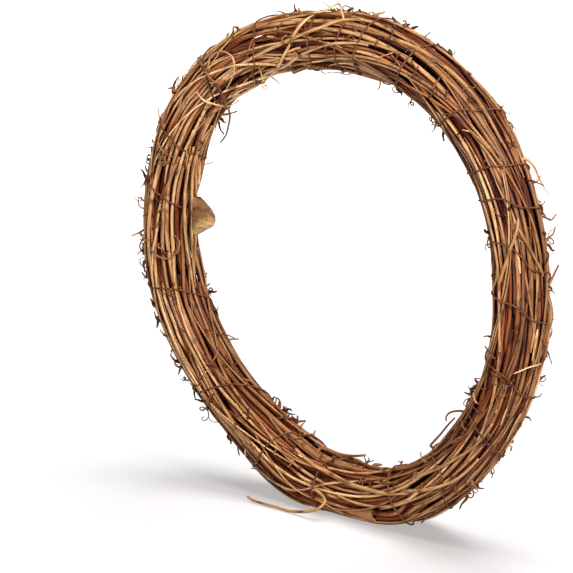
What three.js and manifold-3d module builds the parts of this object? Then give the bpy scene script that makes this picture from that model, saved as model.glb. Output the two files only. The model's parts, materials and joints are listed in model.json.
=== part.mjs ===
// A grapevine wreath: long thin vine stems laid side by side in a standing ring, and one wire wound
// round the bundle to hold them. Short twigs, curling tendrils and loose shoots grow from the stems.
// A dried leaf and a flake of bark are caught in the bundle.
// Millimetres, +Z up. The ring stands in the XZ plane and faces -Y, with its axis along Y.
// The origin is under the middle of the ring, on the surface that it stands on.
// A place in the ring is given by its ring angle, counted from +X towards +Z, and in the bundle's cross
// section by its section angle: 0 is away from the ring's centre, 90 the front, 180 the hole, 270 the back.
import * as THREE from "three";
import { mergeVertices } from "three/addons/utils/BufferGeometryUtils.js";
import Module from "manifold-3d";

// Ring and bundle
const RING_CENTRE_X = 2.2; // the ring bulges to the left, and the origin is under the middle of its width
const RING_CENTRE_Z = 148.5;
// Ring angle, radius of the middle of the bundle: the hand-wound ring is wide below and narrow on top.
const MIDLINE = [
  [0, 132.2],
  [28, 136],
  [52, 134.4],
  [76, 130],
  [103, 124.5],
  [127, 128.5],
  [155, 134],
  [185, 136.4],
  [214, 133.2],
  [240, 130.6],
  [252, 132.4],
  [261, 136.2],
  [270, 137],
  [284, 138.6],
  [298, 137.6],
  [314, 133.8],
  [336, 132.2],
];
// Ring angle, half the thickness of the bundle.
const THICKNESS = [
  [0, 15.3],
  [40, 15.2],
  [75, 16.6],
  [105, 18],
  [130, 16.2],
  [180, 15.4],
  [238, 15.4],
  [262, 17],
  [284, 16.8],
  [320, 15.4],
];

// Vines
const VINE_COUNT = 42;
const VINE_RADIUS_MIN = 1.15;
const VINE_RADIUS_MAX = 1.7;
const STEM_GAP = 0.36;
const WANDER = 6.4; // how far a vine strays from its place in the bundle
const INNER_DEPTH = 8.8; // a vine whose mean depth is less lies hidden in the bundle
const TAPER = 0.78; // thickness of a vine's tip against its middle
const END_RISE = 2.6; // how far a cut end springs away from the bundle
const START_SPREAD = 0.86; // share of the bundle's thickness that the vines start spread over
const GOLDEN_ANGLE = Math.PI * (3 - Math.sqrt(5));
const THICK_EVERY = 7; // one vine in so many is thicker
const THICKER = 1.12;
const STRAY_EVERY = 6; // one vine in so many wanders further
const STRAYS_MORE = 1.5;
const OUTER_SIDES = 4;
const INNER_SIDES = 3;
const OUTER_FATNESS = 1.08; // few sides take a little more reach for the same bulk
const INNER_FATNESS = 1.2;

// How the bundle is drawn together: rounds of smoothing, parting and holding
const PACK_ROUNDS = 420;
const SMOOTHING = 0.16;
const SMOOTH_UNTIL = 0.8; // share of the rounds
const SETTLE_UNTIL = 0.9;
const PULL_IN = 0.6;
const PARTED_AT = [0, 0.25, 0.5, 0.75]; // shares of the way from one station to the next

// The vines are given at these ring angles, closer together at the foot, where the ring lies flat.
const STATION_STEP = 9;
const FOOT_STATIONS = [252, 260, 264.5, 267.5, 272.5, 275.5, 283, 290];
const FOOT_ANGLE = 270;
const FOOT_HALF_WIDTH = 20;
const FOOT_WIRE_HALF_WIDTH = 3; // the wire passes under the stems within this of the foot's middle
const UNDERSIDE = 0.2; // the surface is tested where the ring's radius points down at least this much
const SETTLES_BELOW = 4; // stems this far below the middle of the bundle sink to the surface at the foot
const SETTLE_STEP = 0.2;
const PRESSED = 0.62; // a stem's middle over the surface, as a share of its radius, where it is pressed flat

// Binding wire
const WIRE_RADIUS = 0.55;
const WIRE_GAP = 0.32;
const WIRE_STEPS = 12; // for each turn
const WIRE_START = -3; // steps before the outside of the first turn, so that both ends lie at the back
// The ring angles at which each turn passes the outside of the bundle, its front and the hole.
const WIRE_PLACES = [
  [-4, 1.5, 2.5],
  [7, 15.5, 17],
  [21, 25.8, 27],
  [30.8, 33, 35.5],
  [44.3, 47.8, 51],
  [64.8, 64.8, 66.5],
  [79.2, 79.3, 81.5],
  [86.5, 86, 87.5],
  [96.5, 95.5, 99],
  [114, 115.2, 125],
  [133, 134, 142],
  [154, 156.3, 161],
  [170.5, 172, 178],
  [194, 197, 201.5],
  [220, 225, 232],
  [244, 248.5, 252.5],
  [270, 267, 268],
  [290, 291.8, 289.5],
  [301, 310, 307],
  [322, 327, 329],
  [338.3, 344, 345.5],
];
const WIRE_TURNS = WIRE_PLACES.length;
const WIRE_PITCH = 360 / WIRE_TURNS; // degrees of the ring for each turn, on average
const WIRE_FLOOR_GAP = 0.05;
const WIRE_WINDOW = 0.6; // share of a step over which the outermost stem is looked for, each way
const UNDER_WIRE = 2 * WIRE_RADIUS + WIRE_FLOOR_GAP + WIRE_GAP;

// Growth on the vines
const TWIG_COUNT = 34;
const TWIG_RADIUS = 0.62;
const CURL_COUNT = 6;
const CURL_RADIUS = 0.42;
const GROWTH_GAP = 0.35;
const GROWTH_WIRE_GAP = 0.5;
const GROWTH_FLOOR_GAP = 0.1;
const HALF_WIDTH = 150.6; // nothing grows further to the side of the origin than this
const WIRE_TEST_REACH = 20; // wire further off than this isn't tested
const GROWTH_LIFT = 3; // growth may be lifted this far from the bundle to clear what lies there
const GROWTH_LIFT_STEP = 0.5;
const TESTS_PER_SEGMENT = 5;
const SHOOT_SHIFTS = [0, 0.7, -0.7, 1.4, -1.4, 2.1, -2.1, 2.8, -2.8, 3.5, -3.5, 4.2, -4.2, 5, -5];
const END_TRIES = 60;
const END_GAP = 3; // between a cut end and the wire
const ROOT_GAP = 4; // degrees between a cut end and a root

// Leaf and bark
const BLADE_THICKNESS = 0.7;
const LEAF_ANGLE = 179.5;
const LEAF_SPAN = 10.4;
const LEAF_SECTION = 176;
const LEAF_WIDTH = 16.5;
const LEAF_WIDEST = 0.34;
const LEAF_TORN_WIDTH = 0.08; // share of the width that is left at the tear
const LEAF_TIP_ROUNDING = 0.97;
const LEAF_CUP = 2.6;
const LEAF_CURL = 3.4;
const FLAKE_FROM = 276.5;
const FLAKE_TO = 284;
const FLAKE_TIP_SECTION = 70;
const FLAKE_HIGH_SECTION = 74;
const FLAKE_LOW_SECTION = 48;
const FLAKE_TIP_WIDTH = 4;
const FLAKE_WARP = 0.5;
const BLADE_LIFT = 4;
const BLADE_LIFT_STEP = 0.1;
const BLADE_TESTS = [10, 16];

const DEGREE = Math.PI / 180;
const STEM_COLOURS = [0xb98247, 0xa86f3a, 0x94592c, 0x7d4a28, 0x6b4a35, 0xc49558];

// A repeatable random number from 0 to 1.
let seed = 20417;
function random() {
  seed = (seed + 0x6d2b79f5) | 0;
  let mixed = Math.imul(seed ^ (seed >>> 15), 1 | seed);
  mixed = (mixed + Math.imul(mixed ^ (mixed >>> 7), 61 | mixed)) ^ mixed;
  return ((mixed ^ (mixed >>> 14)) >>> 0) / 4294967296;
}

function between(low, high) {
  return low + (high - low) * random();
}

// A value that runs smoothly round the ring through the given [ring angle, value] pairs.
function roundTheRing(pairs, angle) {
  const turned = ((angle % 360) + 360) % 360;
  let next = pairs.findIndex(([at]) => at > turned);
  if (next < 0) next = pairs.length;
  const at = (n) => {
    const wrapped = ((n % pairs.length) + pairs.length) % pairs.length;
    return [pairs[wrapped][0] + (360 * (n - wrapped)) / pairs.length, pairs[wrapped][1]];
  };
  const [a0, v0] = at(next - 1);
  const [a1, v1] = at(next);
  const [aBefore, vBefore] = at(next - 2);
  const [aAfter, vAfter] = at(next + 1);
  const span = a1 - a0;
  const slope0 = (v1 - vBefore) / (a1 - aBefore);
  const slope1 = (vAfter - v0) / (aAfter - a0);
  const share = (turned - a0) / span;
  const rise = share * share * (3 - 2 * share);
  const lead = share * (1 - share) * (1 - share) * span * slope0;
  const trail = share * share * (share - 1) * span * slope1;
  return v0 + (v1 - v0) * rise + lead + trail;
}

const midline = (angle) => roundTheRing(MIDLINE, angle);
const thickness = (angle) => roundTheRing(THICKNESS, angle);

// A point of the ring: radius from the ring's centre, and y.
function ringPoint(angle, radius, y) {
  return new THREE.Vector3(
    radius * Math.cos(angle * DEGREE),
    y,
    radius * Math.sin(angle * DEGREE),
  );
}

const stations = [];
for (let angle = 0; angle < 360; angle += STATION_STEP) {
  if (angle < FOOT_STATIONS[0] || angle > FOOT_STATIONS.at(-1)) stations.push(angle);
}
stations.push(...FOOT_STATIONS);
stations.sort((a, b) => a - b);
const STATIONS = stations.length;

// The lowest place of a stem's middle at a station: on the surface, or over the wire at the foot.
function floorRadius(station, stemRadius) {
  const angle = stations[station];
  const down = -Math.sin(angle * DEGREE);
  if (down < UNDERSIDE) return Infinity;
  const overWire = Math.abs(angle - FOOT_ANGLE) < FOOT_WIRE_HALF_WIDTH;
  const height = overWire ? UNDER_WIRE + stemRadius : PRESSED * stemRadius;
  return (RING_CENTRE_Z - height) / down;
}

// Vines start spread evenly over the cross section and wander, each in its own way, round the ring.
function startVines() {
  const vines = [];
  for (let i = 0; i < VINE_COUNT; i++) {
    const reach = Math.sqrt((i + 0.5) / VINE_COUNT) * START_SPREAD;
    const turn = i * GOLDEN_ANGLE;
    const thicker = i % THICK_EVERY === 3 ? THICKER : 1;
    const further = i % STRAY_EVERY === 1 ? STRAYS_MORE : 1;
    const radius = between(VINE_RADIUS_MIN, VINE_RADIUS_MAX) * thicker;
    const waves = [1, 2, 3, 4].map((n) => ({
      n,
      size: (WANDER * between(0.35, 1) * further) / n,
      along: between(0, 360),
      across: between(0, 360),
    }));
    const out = [];
    const back = [];
    for (const angle of stations) {
      const size = thickness(angle) - radius;
      let a = reach * size * Math.cos(turn);
      let b = reach * size * Math.sin(turn);
      for (const wave of waves) {
        a += wave.size * Math.sin((wave.n * angle + wave.along) * DEGREE);
        b += wave.size * Math.sin((wave.n * angle + wave.across) * DEGREE);
      }
      out.push(a);
      back.push(b);
    }
    vines.push({ radius, out, back });
  }
  return vines;
}

// Moves two stems apart where they are nearer than their sizes allow. They are tested between one
// station and the next, at the given share of the way.
function partStems(one, two, from, to, share) {
  const rest = 1 - share;
  const a = rest * (one.out[from] - two.out[from]) + share * (one.out[to] - two.out[to]);
  const b = rest * (one.back[from] - two.back[from]) + share * (one.back[to] - two.back[to]);
  const apart = Math.hypot(a, b);
  const needed = one.radius + two.radius + STEM_GAP;
  if (apart >= needed) return;
  const weight = rest * rest + share * share;
  const push = (0.5 * (needed - apart)) / Math.max(apart, 0.05) / weight;
  for (const [station, part] of [[from, rest], [to, share]]) {
    one.out[station] += part * push * a;
    one.back[station] += part * push * b;
    two.out[station] -= part * push * a;
    two.back[station] -= part * push * b;
  }
}

// Keeps a stem inside the bundle's outline and over the surface that the ring stands on.
function holdStem(vine, station) {
  const size = thickness(stations[station]) - vine.radius;
  const reach = Math.hypot(vine.out[station], vine.back[station]);
  if (reach > size) {
    const pull = 1 - PULL_IN * (1 - size / reach);
    vine.out[station] *= pull;
    vine.back[station] *= pull;
  }
  const lowest = floorRadius(station, vine.radius) - midline(stations[station]);
  vine.out[station] = Math.min(vine.out[station], lowest);
}

// Stems that lie low at the foot sink on to the surface.
function settleFoot(vine, station) {
  const nearFoot = Math.abs(stations[station] - FOOT_ANGLE) <= FOOT_HALF_WIDTH;
  if (nearFoot && vine.out[station] > SETTLES_BELOW) vine.out[station] += SETTLE_STEP;
}

function packBundle(vines) {
  for (let round = 0; round < PACK_ROUNDS; round++) {
    const done = round / PACK_ROUNDS;
    const smoothing = Math.max(0, SMOOTHING * (1 - done / SMOOTH_UNTIL));
    for (const vine of vines) {
      for (let s = 0; s < STATIONS; s++) {
        const before = (s + STATIONS - 1) % STATIONS;
        const after = (s + 1) % STATIONS;
        for (const line of [vine.out, vine.back]) {
          line[s] += smoothing * ((line[before] + line[after]) / 2 - line[s]);
        }
        if (done < SETTLE_UNTIL) settleFoot(vine, s);
      }
    }
    for (let s = 0; s < STATIONS; s++) {
      const after = (s + 1) % STATIONS;
      for (let i = 0; i < vines.length; i++) {
        for (let j = i + 1; j < vines.length; j++) {
          for (const share of PARTED_AT) partStems(vines[i], vines[j], s, after, share);
        }
      }
      for (const vine of vines) holdStem(vine, s);
    }
  }
}

const vines = startVines();
packBundle(vines);

// Where a vine's middle is at any ring angle, on the straight stretch between two stations.
function stemAt(vine, angle) {
  const turned = ((angle % 360) + 360) % 360;
  let after = stations.findIndex((at) => at > turned);
  if (after < 0) after = 0;
  const before = (after + STATIONS - 1) % STATIONS;
  const from = stations[before];
  const span = (((stations[after] - from) % 360) + 360) % 360;
  const passed = (((turned - from) % 360) + 360) % 360;
  const r0 = midline(from) + vine.out[before];
  const r1 = midline(stations[after]) + vine.out[after];
  const near = r0 * Math.sin(passed * DEGREE);
  const far = r1 * Math.sin((span - passed) * DEGREE);
  const radius = (r0 * r1 * Math.sin(span * DEGREE)) / (near + far);
  const y = vine.back[before] + (vine.back[after] - vine.back[before]) * (near / (near + far));
  return { radius, y };
}

// How far the bundle reaches from its midline in the direction of a section angle.
function bundleReach(angle, section) {
  const outward = Math.cos(section * DEGREE);
  const backward = -Math.sin(section * DEGREE);
  let reach = 0;
  for (const vine of vines) {
    const stem = stemAt(vine, angle);
    const here = (stem.radius - midline(angle)) * outward + stem.y * backward + vine.radius;
    if (here > reach) reach = here;
  }
  return reach;
}

// A point over the bundle: at a ring angle and a section angle, off millimetres clear of the stems.
function overBundle(angle, section, off) {
  const reach = bundleReach(angle, section) + off;
  const radius = midline(angle) + reach * Math.cos(section * DEGREE);
  return ringPoint(angle, radius, -reach * Math.sin(section * DEGREE));
}

// A path with a cross section at each of its points: the section's two axes are scaled by the radius
// there, so that the stem swells and tapers.
class StemPath extends THREE.Curve {
  constructor(points, acrosses, ups) {
    super();
    this.points = points;
    this.frames = { tangents: [], normals: acrosses, binormals: ups };
  }

  getSpacedPoints() {
    return this.points;
  }

  computeFrenetFrames() {
    return this.frames;
  }
}

// A stem with so many sides along points, with its own radius at each.
function stemGeometry(points, acrosses, ups, sides) {
  const outline = new THREE.Shape();
  for (let n = 0; n < sides; n++) {
    const turn = ((n + 0.5) / sides) * 2 * Math.PI;
    if (n) outline.lineTo(Math.cos(turn), Math.sin(turn));
    else outline.moveTo(Math.cos(turn), Math.sin(turn));
  }
  outline.closePath();
  return new THREE.ExtrudeGeometry(outline, {
    steps: points.length - 1,
    curveSegments: 1,
    bevelEnabled: false,
    extrudePath: new StemPath(points, acrosses, ups),
  });
}

// A free stem through points, whose cross section isn't twisted: wire, twigs and tendrils.
function freeStem(points, radiusAt, sides) {
  const acrosses = [];
  const ups = [];
  let across = new THREE.Vector3();
  points.forEach((point, n) => {
    const behind = points[Math.max(n - 1, 0)];
    const ahead = points[Math.min(n + 1, points.length - 1)];
    const tangent = ahead.clone().sub(behind).normalize();
    if (n === 0) {
      across.set(0, 1, 0);
      if (Math.abs(tangent.y) > 0.8) across.set(1, 0, 0);
    }
    across = across.clone().addScaledVector(tangent, -across.dot(tangent)).normalize();
    const radius = radiusAt(n / (points.length - 1));
    acrosses.push(across.clone().multiplyScalar(radius));
    ups.push(tangent.clone().cross(across).multiplyScalar(radius));
  });
  return stemGeometry(points, acrosses, ups, sides);
}

// How far the wire runs ahead of an even winding, at each of its listed places.
const WIRE_LEAD = WIRE_PLACES.flatMap((places, turn) =>
  places.map((angle, quarter) => {
    const even = (turn + quarter / 4) * WIRE_PITCH;
    return [even, angle - even];
  }),
);

// Binding wire: turn by turn round the bundle, on lines that touch its outermost stems.
function wirePoints() {
  const steps = WIRE_TURNS * WIRE_STEPS;
  const sections = [];
  for (let n = 0; n <= steps; n++) {
    const turns = (n + WIRE_START) / WIRE_STEPS;
    const even = turns * WIRE_PITCH;
    const angle = even + roundTheRing(WIRE_LEAD, even);
    const section = turns * 360;
    const window = WIRE_WINDOW * (WIRE_PITCH / WIRE_STEPS);
    const reach = Math.max(
      bundleReach(angle - window, section),
      bundleReach(angle, section),
      bundleReach(angle + window, section),
    );
    sections.push({ angle, section, reach: reach + WIRE_GAP + WIRE_RADIUS });
  }
  const points = [];
  for (let n = 0; n < steps; n++) {
    const one = sections[n];
    const two = sections[n + 1];
    const c1 = Math.cos(one.section * DEGREE);
    const s1 = -Math.sin(one.section * DEGREE);
    const c2 = Math.cos(two.section * DEGREE);
    const s2 = -Math.sin(two.section * DEGREE);
    const size = c1 * s2 - s1 * c2;
    const out = (one.reach * s2 - two.reach * s1) / size;
    const back = (two.reach * c1 - one.reach * c2) / size;
    const angle = (one.angle + two.angle) / 2;
    const point = ringPoint(angle, midline(angle) + out, back);
    point.z = Math.max(point.z, WIRE_RADIUS + WIRE_FLOOR_GAP - RING_CENTRE_Z);
    points.push(point);
  }
  return points;
}

const wire = wirePoints();

// Growth is kept clear of the other stems, the wire and what has already grown.
const grown = [];

function segmentGap(point, from, to) {
  const along = to.clone().sub(from);
  const share = point.clone().sub(from).dot(along) / along.lengthSq();
  const nearest = from.clone().addScaledVector(along, Math.min(1, Math.max(0, share)));
  return nearest.distanceTo(point);
}

function isClear(points, radius, parent) {
  for (const point of points) {
    const angle = Math.atan2(point.z, point.x) / DEGREE;
    const reach = Math.hypot(point.x, point.z);
    if (point.z - radius < GROWTH_FLOOR_GAP - RING_CENTRE_Z) return false;
    if (Math.abs(point.x + RING_CENTRE_X) + radius > HALF_WIDTH) return false;
    for (const vine of vines) {
      if (vine === parent) continue;
      const stem = stemAt(vine, angle);
      const gap = Math.hypot(stem.radius - reach, stem.y - point.y) - vine.radius - radius;
      if (gap < GROWTH_GAP) return false;
    }
    for (let n = 1; n < wire.length; n++) {
      if (wire[n].distanceToSquared(point) > WIRE_TEST_REACH ** 2) continue;
      const gap = segmentGap(point, wire[n - 1], wire[n]) - WIRE_RADIUS - radius;
      if (gap < GROWTH_WIRE_GAP) return false;
    }
    for (const other of grown) {
      if (other.point.distanceTo(point) - other.radius - radius < GROWTH_GAP) return false;
    }
  }
  return true;
}

// The vine that lies outermost at a ring angle, in the direction of a section angle.
function outermost(angle, section) {
  const outward = Math.cos(section * DEGREE);
  const backward = -Math.sin(section * DEGREE);
  const reachOf = (vine) => {
    const stem = stemAt(vine, angle);
    return (stem.radius - midline(angle)) * outward + stem.y * backward;
  };
  return vines.reduce((best, vine) => (reachOf(vine) > reachOf(best) ? vine : best));
}

function sampled(points, count) {
  return new THREE.CatmullRomCurve3(points, false, "centripetal").getSpacedPoints(count);
}

// Grows a stem from the vine that lies outermost at a ring angle and a section angle. placesAt gives
// the points that it passes through, and lifts them a little further from the bundle until it is clear.
function growThrough(angle, section, placesAt, { radius, tip, segments, sides }) {
  const parent = outermost(angle, section);
  const stem = stemAt(parent, angle);
  const root = ringPoint(angle, stem.radius, stem.y);
  for (let lift = 0; lift <= GROWTH_LIFT; lift += GROWTH_LIFT_STEP) {
    const places = placesAt(lift);
    const points = sampled([root, ...places], segments);
    const free = sampled([root, ...places], TESTS_PER_SEGMENT * segments).filter(
      (point) => point.distanceTo(root) > parent.radius + 0.8 * radius,
    );
    if (!isClear(free, radius, parent)) continue;
    for (const point of free) grown.push({ point, radius });
    const thin = (share) => radius * (1 + (tip - 1) * share);
    parent.growth.push(freeStem(points, thin, sides));
    parent.roots.push(((angle % 360) + 360) % 360);
    return true;
  }
  return false;
}

// Grows a stem along a route: [ring angle, section angle, height over the bundle], root first.
function growAlong(route, shape) {
  const [[angle, section]] = route;
  const placesAt = (lift) =>
    route.slice(1).map(([a, s, height]) => overBundle(a, s, height + shape.radius + lift));
  return growThrough(angle, section, placesAt, shape);
}

for (const vine of vines) {
  vine.growth = [];
  vine.roots = [];
}

// A shoot that springs from the foot to the front, then runs back to the left along the surface that
// the ring stands on. Its places are in millimetres from the point under the ring's centre.
const FOOT_SHOOT = [
  [-5, -19.6, 14],
  [3, -21.5, 12.4],
  [7.8, -25, 10.2],
  [6.4, -27.8, 7.4],
  [0.5, -28.8, 4.6],
  [-13.5, -28.8, 1.4],
  [-26, -28.8, 1.3],
  [-37, -28.8, 1.3],
  [-44.5, -28.4, 1.5],
  [-49.5, -27.4, 2.4],
];
const footShootGrew = growThrough(
  264.8,
  92,
  (lift) => FOOT_SHOOT.map(([x, y, z]) => new THREE.Vector3(x, y - lift / 6, z - RING_CENTRE_Z)),
  { radius: 0.95, tip: 0.75, segments: 22, sides: 4 },
);
if (!footShootGrew) throw new Error("no clear way for the shoot at the foot");

// Shoots and loops that stand away from the bundle, each where the real wreath has one.
const SHOOTS = [
  // A round loop lying against the front at the upper left, and the paler arc below it.
  { radius: 0.6, tip: 0.8, segments: 16, sides: 3, route: [
    [135, 72, 0], [131.5, 64, 2], [128.5, 64, 2.6], [125, 74, 2.8], [123, 90, 2.6], [124.5, 108, 2.4],
    [129, 124, 2], [132.5, 132, 1.4],
  ] },
  { radius: 0.6, tip: 0.7, segments: 12, sides: 3, route: [
    [141, 98, 0], [140, 122, 2], [139.5, 148, 2.4], [139.5, 172, 2.4], [137.5, 190, 2],
  ] },
  // A dark hook that leaves the bundle's inner side below them.
  { radius: 0.72, tip: 0.6, segments: 10, sides: 4, route: [
    [139, 168, 0], [142, 180, 2.6], [145.5, 190, 4.4], [149, 200, 4.4], [153.5, 210, 5.6],
    [157.5, 220, 4.6],
  ] },
  // A small round loop at the left.
  { radius: 0.55, tip: 0.8, segments: 14, sides: 3, route: [
    [186.5, 64, 0], [188, 94, 1.8], [189.5, 116, 2.4], [189.5, 134, 2.6], [187.5, 148, 2.6],
    [185.5, 152, 2.2], [183.8, 144, 1.4],
  ] },
  // A knobby shoot that runs along the inner side at the foot.
  { radius: 1.05, tip: 0.62, segments: 9, sides: 4, route: [
    [258, 172, 0], [262, 180, 1.2], [267, 188, 1.6], [272, 192, 3], [276, 193, 5.4],
  ] },
  // A shoot along the inner side at the lower right, and the dark hook at its end.
  { radius: 0.85, tip: 0.6, segments: 9, sides: 4, route: [
    [302, 166, 0], [306, 167, 1.2], [311, 164, 1.8], [316, 160, 2.6], [320, 156, 2.4],
  ] },
  { radius: 0.7, tip: 0.6, segments: 10, sides: 3, route: [
    [325, 148, 0], [323.5, 152, 2.4], [322.2, 154, 4.8], [320.6, 155, 6.6], [318.4, 156, 6.8], [317, 158, 5],
  ] },
  // A stout stub on the inner side to its right.
  { radius: 0.9, tip: 0.8, segments: 4, sides: 4, route: [
    [336, 132, 0], [334, 144, 1], [332, 148, 2.8],
  ] },
  // A long spike that leaves the bundle at the upper right, and dark hooks below it.
  { radius: 0.95, tip: 0.45, segments: 7, sides: 4, route: [
    [33, -28, 0], [30, -36, 1], [26.5, -42, 1.8], [23, -45, 4.4],
  ] },
  { radius: 0.75, tip: 0.5, segments: 6, sides: 3, route: [
    [19.4, -26, 0], [18.2, -40, 1.8], [17.6, -45, 4.8], [18.6, -46, 8],
  ] },
  { radius: 0.75, tip: 0.5, segments: 6, sides: 3, route: [
    [12.6, -26, 0], [14, -38, 1.6], [14.6, -44, 4.6], [16, -46, 6.4],
  ] },
  { radius: 0.95, tip: 0.5, segments: 6, sides: 4, route: [
    [3.6, -26, 0], [5.6, -38, 1], [6.8, -44, 3], [8.4, -46, 5.4],
  ] },
  // A twisted shoot over the top, and a knobby one to its right.
  { radius: 0.75, tip: 0.6, segments: 16, sides: 3, route: [
    [86, 22, 0], [88, 20, 3.4], [90.5, 6, 5.5], [92.5, 26, 3.2], [94.5, 34, 4.2], [97, 22, 1.8],
  ] },
  { radius: 0.95, tip: 0.75, segments: 5, sides: 4, route: [
    [87, -2, 0], [84.5, -18, 1], [81.8, -26, 4.8],
  ] },
  // A loose shoot that bows away from the inner side at the top right.
  { radius: 0.9, tip: 0.7, segments: 12, sides: 4, route: [
    [94, 172, 0], [90, 176, 1.4], [84, 180, 3.4], [77, 182, 3.6], [71, 180, 1.6],
  ] },
  // A twig that stands out at the left.
  { radius: 0.8, tip: 0.55, segments: 5, sides: 3, route: [
    [180, 24, 0], [181.4, 38, 1.8], [182, 43, 6.6],
  ] },
  // Tendrils at the back, out of sight from the front.
  { radius: 0.7, tip: 0.6, segments: 14, sides: 3, route: [
    [40, 262, 0], [42, 266, 5], [46, 272, 11], [49, 266, 10.4], [47.5, 256, 6],
  ] },
  { radius: 0.7, tip: 0.6, segments: 12, sides: 3, route: [
    [212, 268, 0], [209, 264, 3], [205, 268, 5.6], [201, 276, 4.2], [198, 272, 1.8],
  ] },
];

// A shoot that meets a stem or the wire is moved a little along the ring.
for (const shoot of SHOOTS) {
  const grew = SHOOT_SHIFTS.some((shift) => {
    const route = shoot.route.map(([angle, section, height]) => [angle + shift, section, height]);
    return growAlong(route, shoot);
  });
  if (!grew) throw new Error(`no clear way for the shoot from ring angle ${shoot.route[0][0]}`);
}

// A thin blade: the cells of a flat box, moved on to a curved sheet by place(across, along, face).
// across and along run from 0 to 1, and face is the distance from the sheet's middle.
function bladeGeometry(cellsAcross, cellsAlong, place) {
  const geometry = new THREE.BoxGeometry(1, 1, BLADE_THICKNESS, cellsAcross, cellsAlong, 1);
  const position = geometry.attributes.position;
  for (let n = 0; n < position.count; n++) {
    const across = position.getX(n) + 0.5;
    const along = position.getY(n) + 0.5;
    const point = place(across, along, position.getZ(n));
    position.setXYZ(n, point.x, point.y, point.z);
  }
  return geometry;
}

// Moves a blade away from the bundle until it is clear of everything, and keeps later growth off it.
function seatBlade(placeAt) {
  const [across, along] = BLADE_TESTS;
  for (let lift = 0; lift < BLADE_LIFT; lift += BLADE_LIFT_STEP) {
    const points = [];
    for (let i = 0; i <= across; i++) {
      for (let j = 0; j <= along; j++) points.push(placeAt(lift)(i / across, j / along, 0));
    }
    if (!isClear(points, BLADE_THICKNESS / 2, null)) continue;
    for (const point of points) grown.push({ point, radius: BLADE_THICKNESS });
    return placeAt(lift);
  }
  throw new Error("a blade has no clear seat");
}

// The dried leaf: a half-curled scrap whose straight edge lies along the inner side of the bundle.
// It is widest a third of the way up, below which it is torn off straight.
function leafPlace(lift) {
  return (across, along, face) => {
    const angle = LEAF_ANGLE - LEAF_SPAN * (along - 0.5);
    const torn = Math.min(1, along / LEAF_WIDEST);
    const rounded = Math.max(0, (along - LEAF_WIDEST) / (1 - LEAF_WIDEST));
    const bow = torn * Math.sqrt(1 - LEAF_TIP_ROUNDING * rounded * rounded);
    const width = LEAF_WIDTH * (LEAF_TORN_WIDTH + (1 - LEAF_TORN_WIDTH) * bow);
    const root = overBundle(angle, LEAF_SECTION, lift);
    const reach = across * width;
    const cup = LEAF_CUP * Math.sin(Math.PI * across) * torn - LEAF_CURL * across * across;
    const inward = ringPoint(angle, -reach, 0);
    return root.add(inward).add(new THREE.Vector3(0, -face - cup, 0));
  };
}

// The flake of bark: a three-cornered chip against the front of the foot, pointing to the left.
function flakePlace(lift) {
  return (across, along, face) => {
    const angle = FLAKE_FROM + (FLAKE_TO - FLAKE_FROM) * along;
    const high = FLAKE_TIP_SECTION + (FLAKE_HIGH_SECTION - FLAKE_TIP_SECTION) * along;
    const tip = FLAKE_TIP_SECTION - FLAKE_TIP_WIDTH;
    const low = tip + (FLAKE_LOW_SECTION - tip) * along;
    const section = low + (high - low) * across;
    const stand = lift - face + BLADE_THICKNESS / 2 + FLAKE_WARP * along * (1 - across);
    return overBundle(angle, section, stand);
  };
}

const leaf = bladeGeometry(4, 6, seatBlade(leafPlace));
const flake = bladeGeometry(2, 3, seatBlade(flakePlace));

// Short twigs: broken side shoots that stand out of the bundle on all sides.
function growTwig() {
  const angle = between(0, 360);
  const section = between(-100, 260);
  const lean = between(-1, 1) > 0 ? 1 : -1;
  const length = between(3.2, 8.5);
  const bend = lean * between(1.2, 3);
  const route = [
    [angle, section, 0],
    [angle + 0.25 * bend, section, 0.35 * length],
    [angle + bend, section + between(-12, 12), length],
  ];
  const radius = between(0.75, 1.15) * TWIG_RADIUS;
  return growAlong(route, { radius, tip: 0.55, segments: 3, sides: 3 });
}

// Curling tendrils: a few loose turns on the end of a thin stem.
function growCurl() {
  const angle = between(0, 360);
  const section = between(-60, 200);
  const route = [[angle, section, 0]];
  const turns = between(1.2, 2);
  const size = between(1.6, 2.6);
  const places = Math.round(5 * turns);
  for (let n = 0; n <= places; n++) {
    const phase = (n / places) * turns * 2 * Math.PI;
    const height = 3.4 + 2.2 * (n / places) + size * Math.sin(phase);
    route.push([angle + 0.42 * size * Math.cos(phase) + 0.5 * n, section + 2.5 * n, height]);
  }
  return growAlong(route, { radius: CURL_RADIUS, tip: 0.7, segments: 2 * places, sides: 3 });
}

function growMany(count, grow) {
  let made = 0;
  for (let tries = 0; made < count && tries < 40 * count; tries++) {
    if (grow()) made++;
  }
}

growMany(TWIG_COUNT, growTwig);
growMany(CURL_COUNT, growCurl);

// A vine is one stem of nearly a full turn. Its two cut ends lie near each other, clear of the wire.
function vineStations(vine) {
  const order = [];
  for (let tries = 0; tries < END_TRIES; tries++) {
    const start = Math.floor(between(0, STATIONS));
    const missing = random() < 0.5 ? 1 : 2;
    order.length = 0;
    for (let n = 0; n < STATIONS - missing; n++) order.push((start + n) % STATIONS);
    const ends = [order[0], order.at(-1)];
    const low = ends.some((s) => Math.abs(stations[s] - FOOT_ANGLE) < FOOT_HALF_WIDTH + ROOT_GAP);
    const opening = (((stations[ends[0]] - stations[ends[1]]) % 360) + 360) % 360;
    const rootless = vine.roots.every(
      (root) =>
        (((root - stations[ends[1]] + ROOT_GAP) % 360) + 360) % 360 > opening + 2 * ROOT_GAP,
    );
    const clearOfGrowth = ends.every((s) => {
      const end = ringPoint(stations[s], midline(stations[s]) + vine.out[s], vine.back[s]);
      const overWire = wire.some((point) => point.distanceTo(end) < END_RISE + END_GAP);
      const overGrowth = grown.some((other) => other.point.distanceTo(end) < END_RISE + END_GAP);
      return !overWire && !overGrowth;
    });
    if (!low && rootless && clearOfGrowth) return order;
  }
  return order;
}

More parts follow.
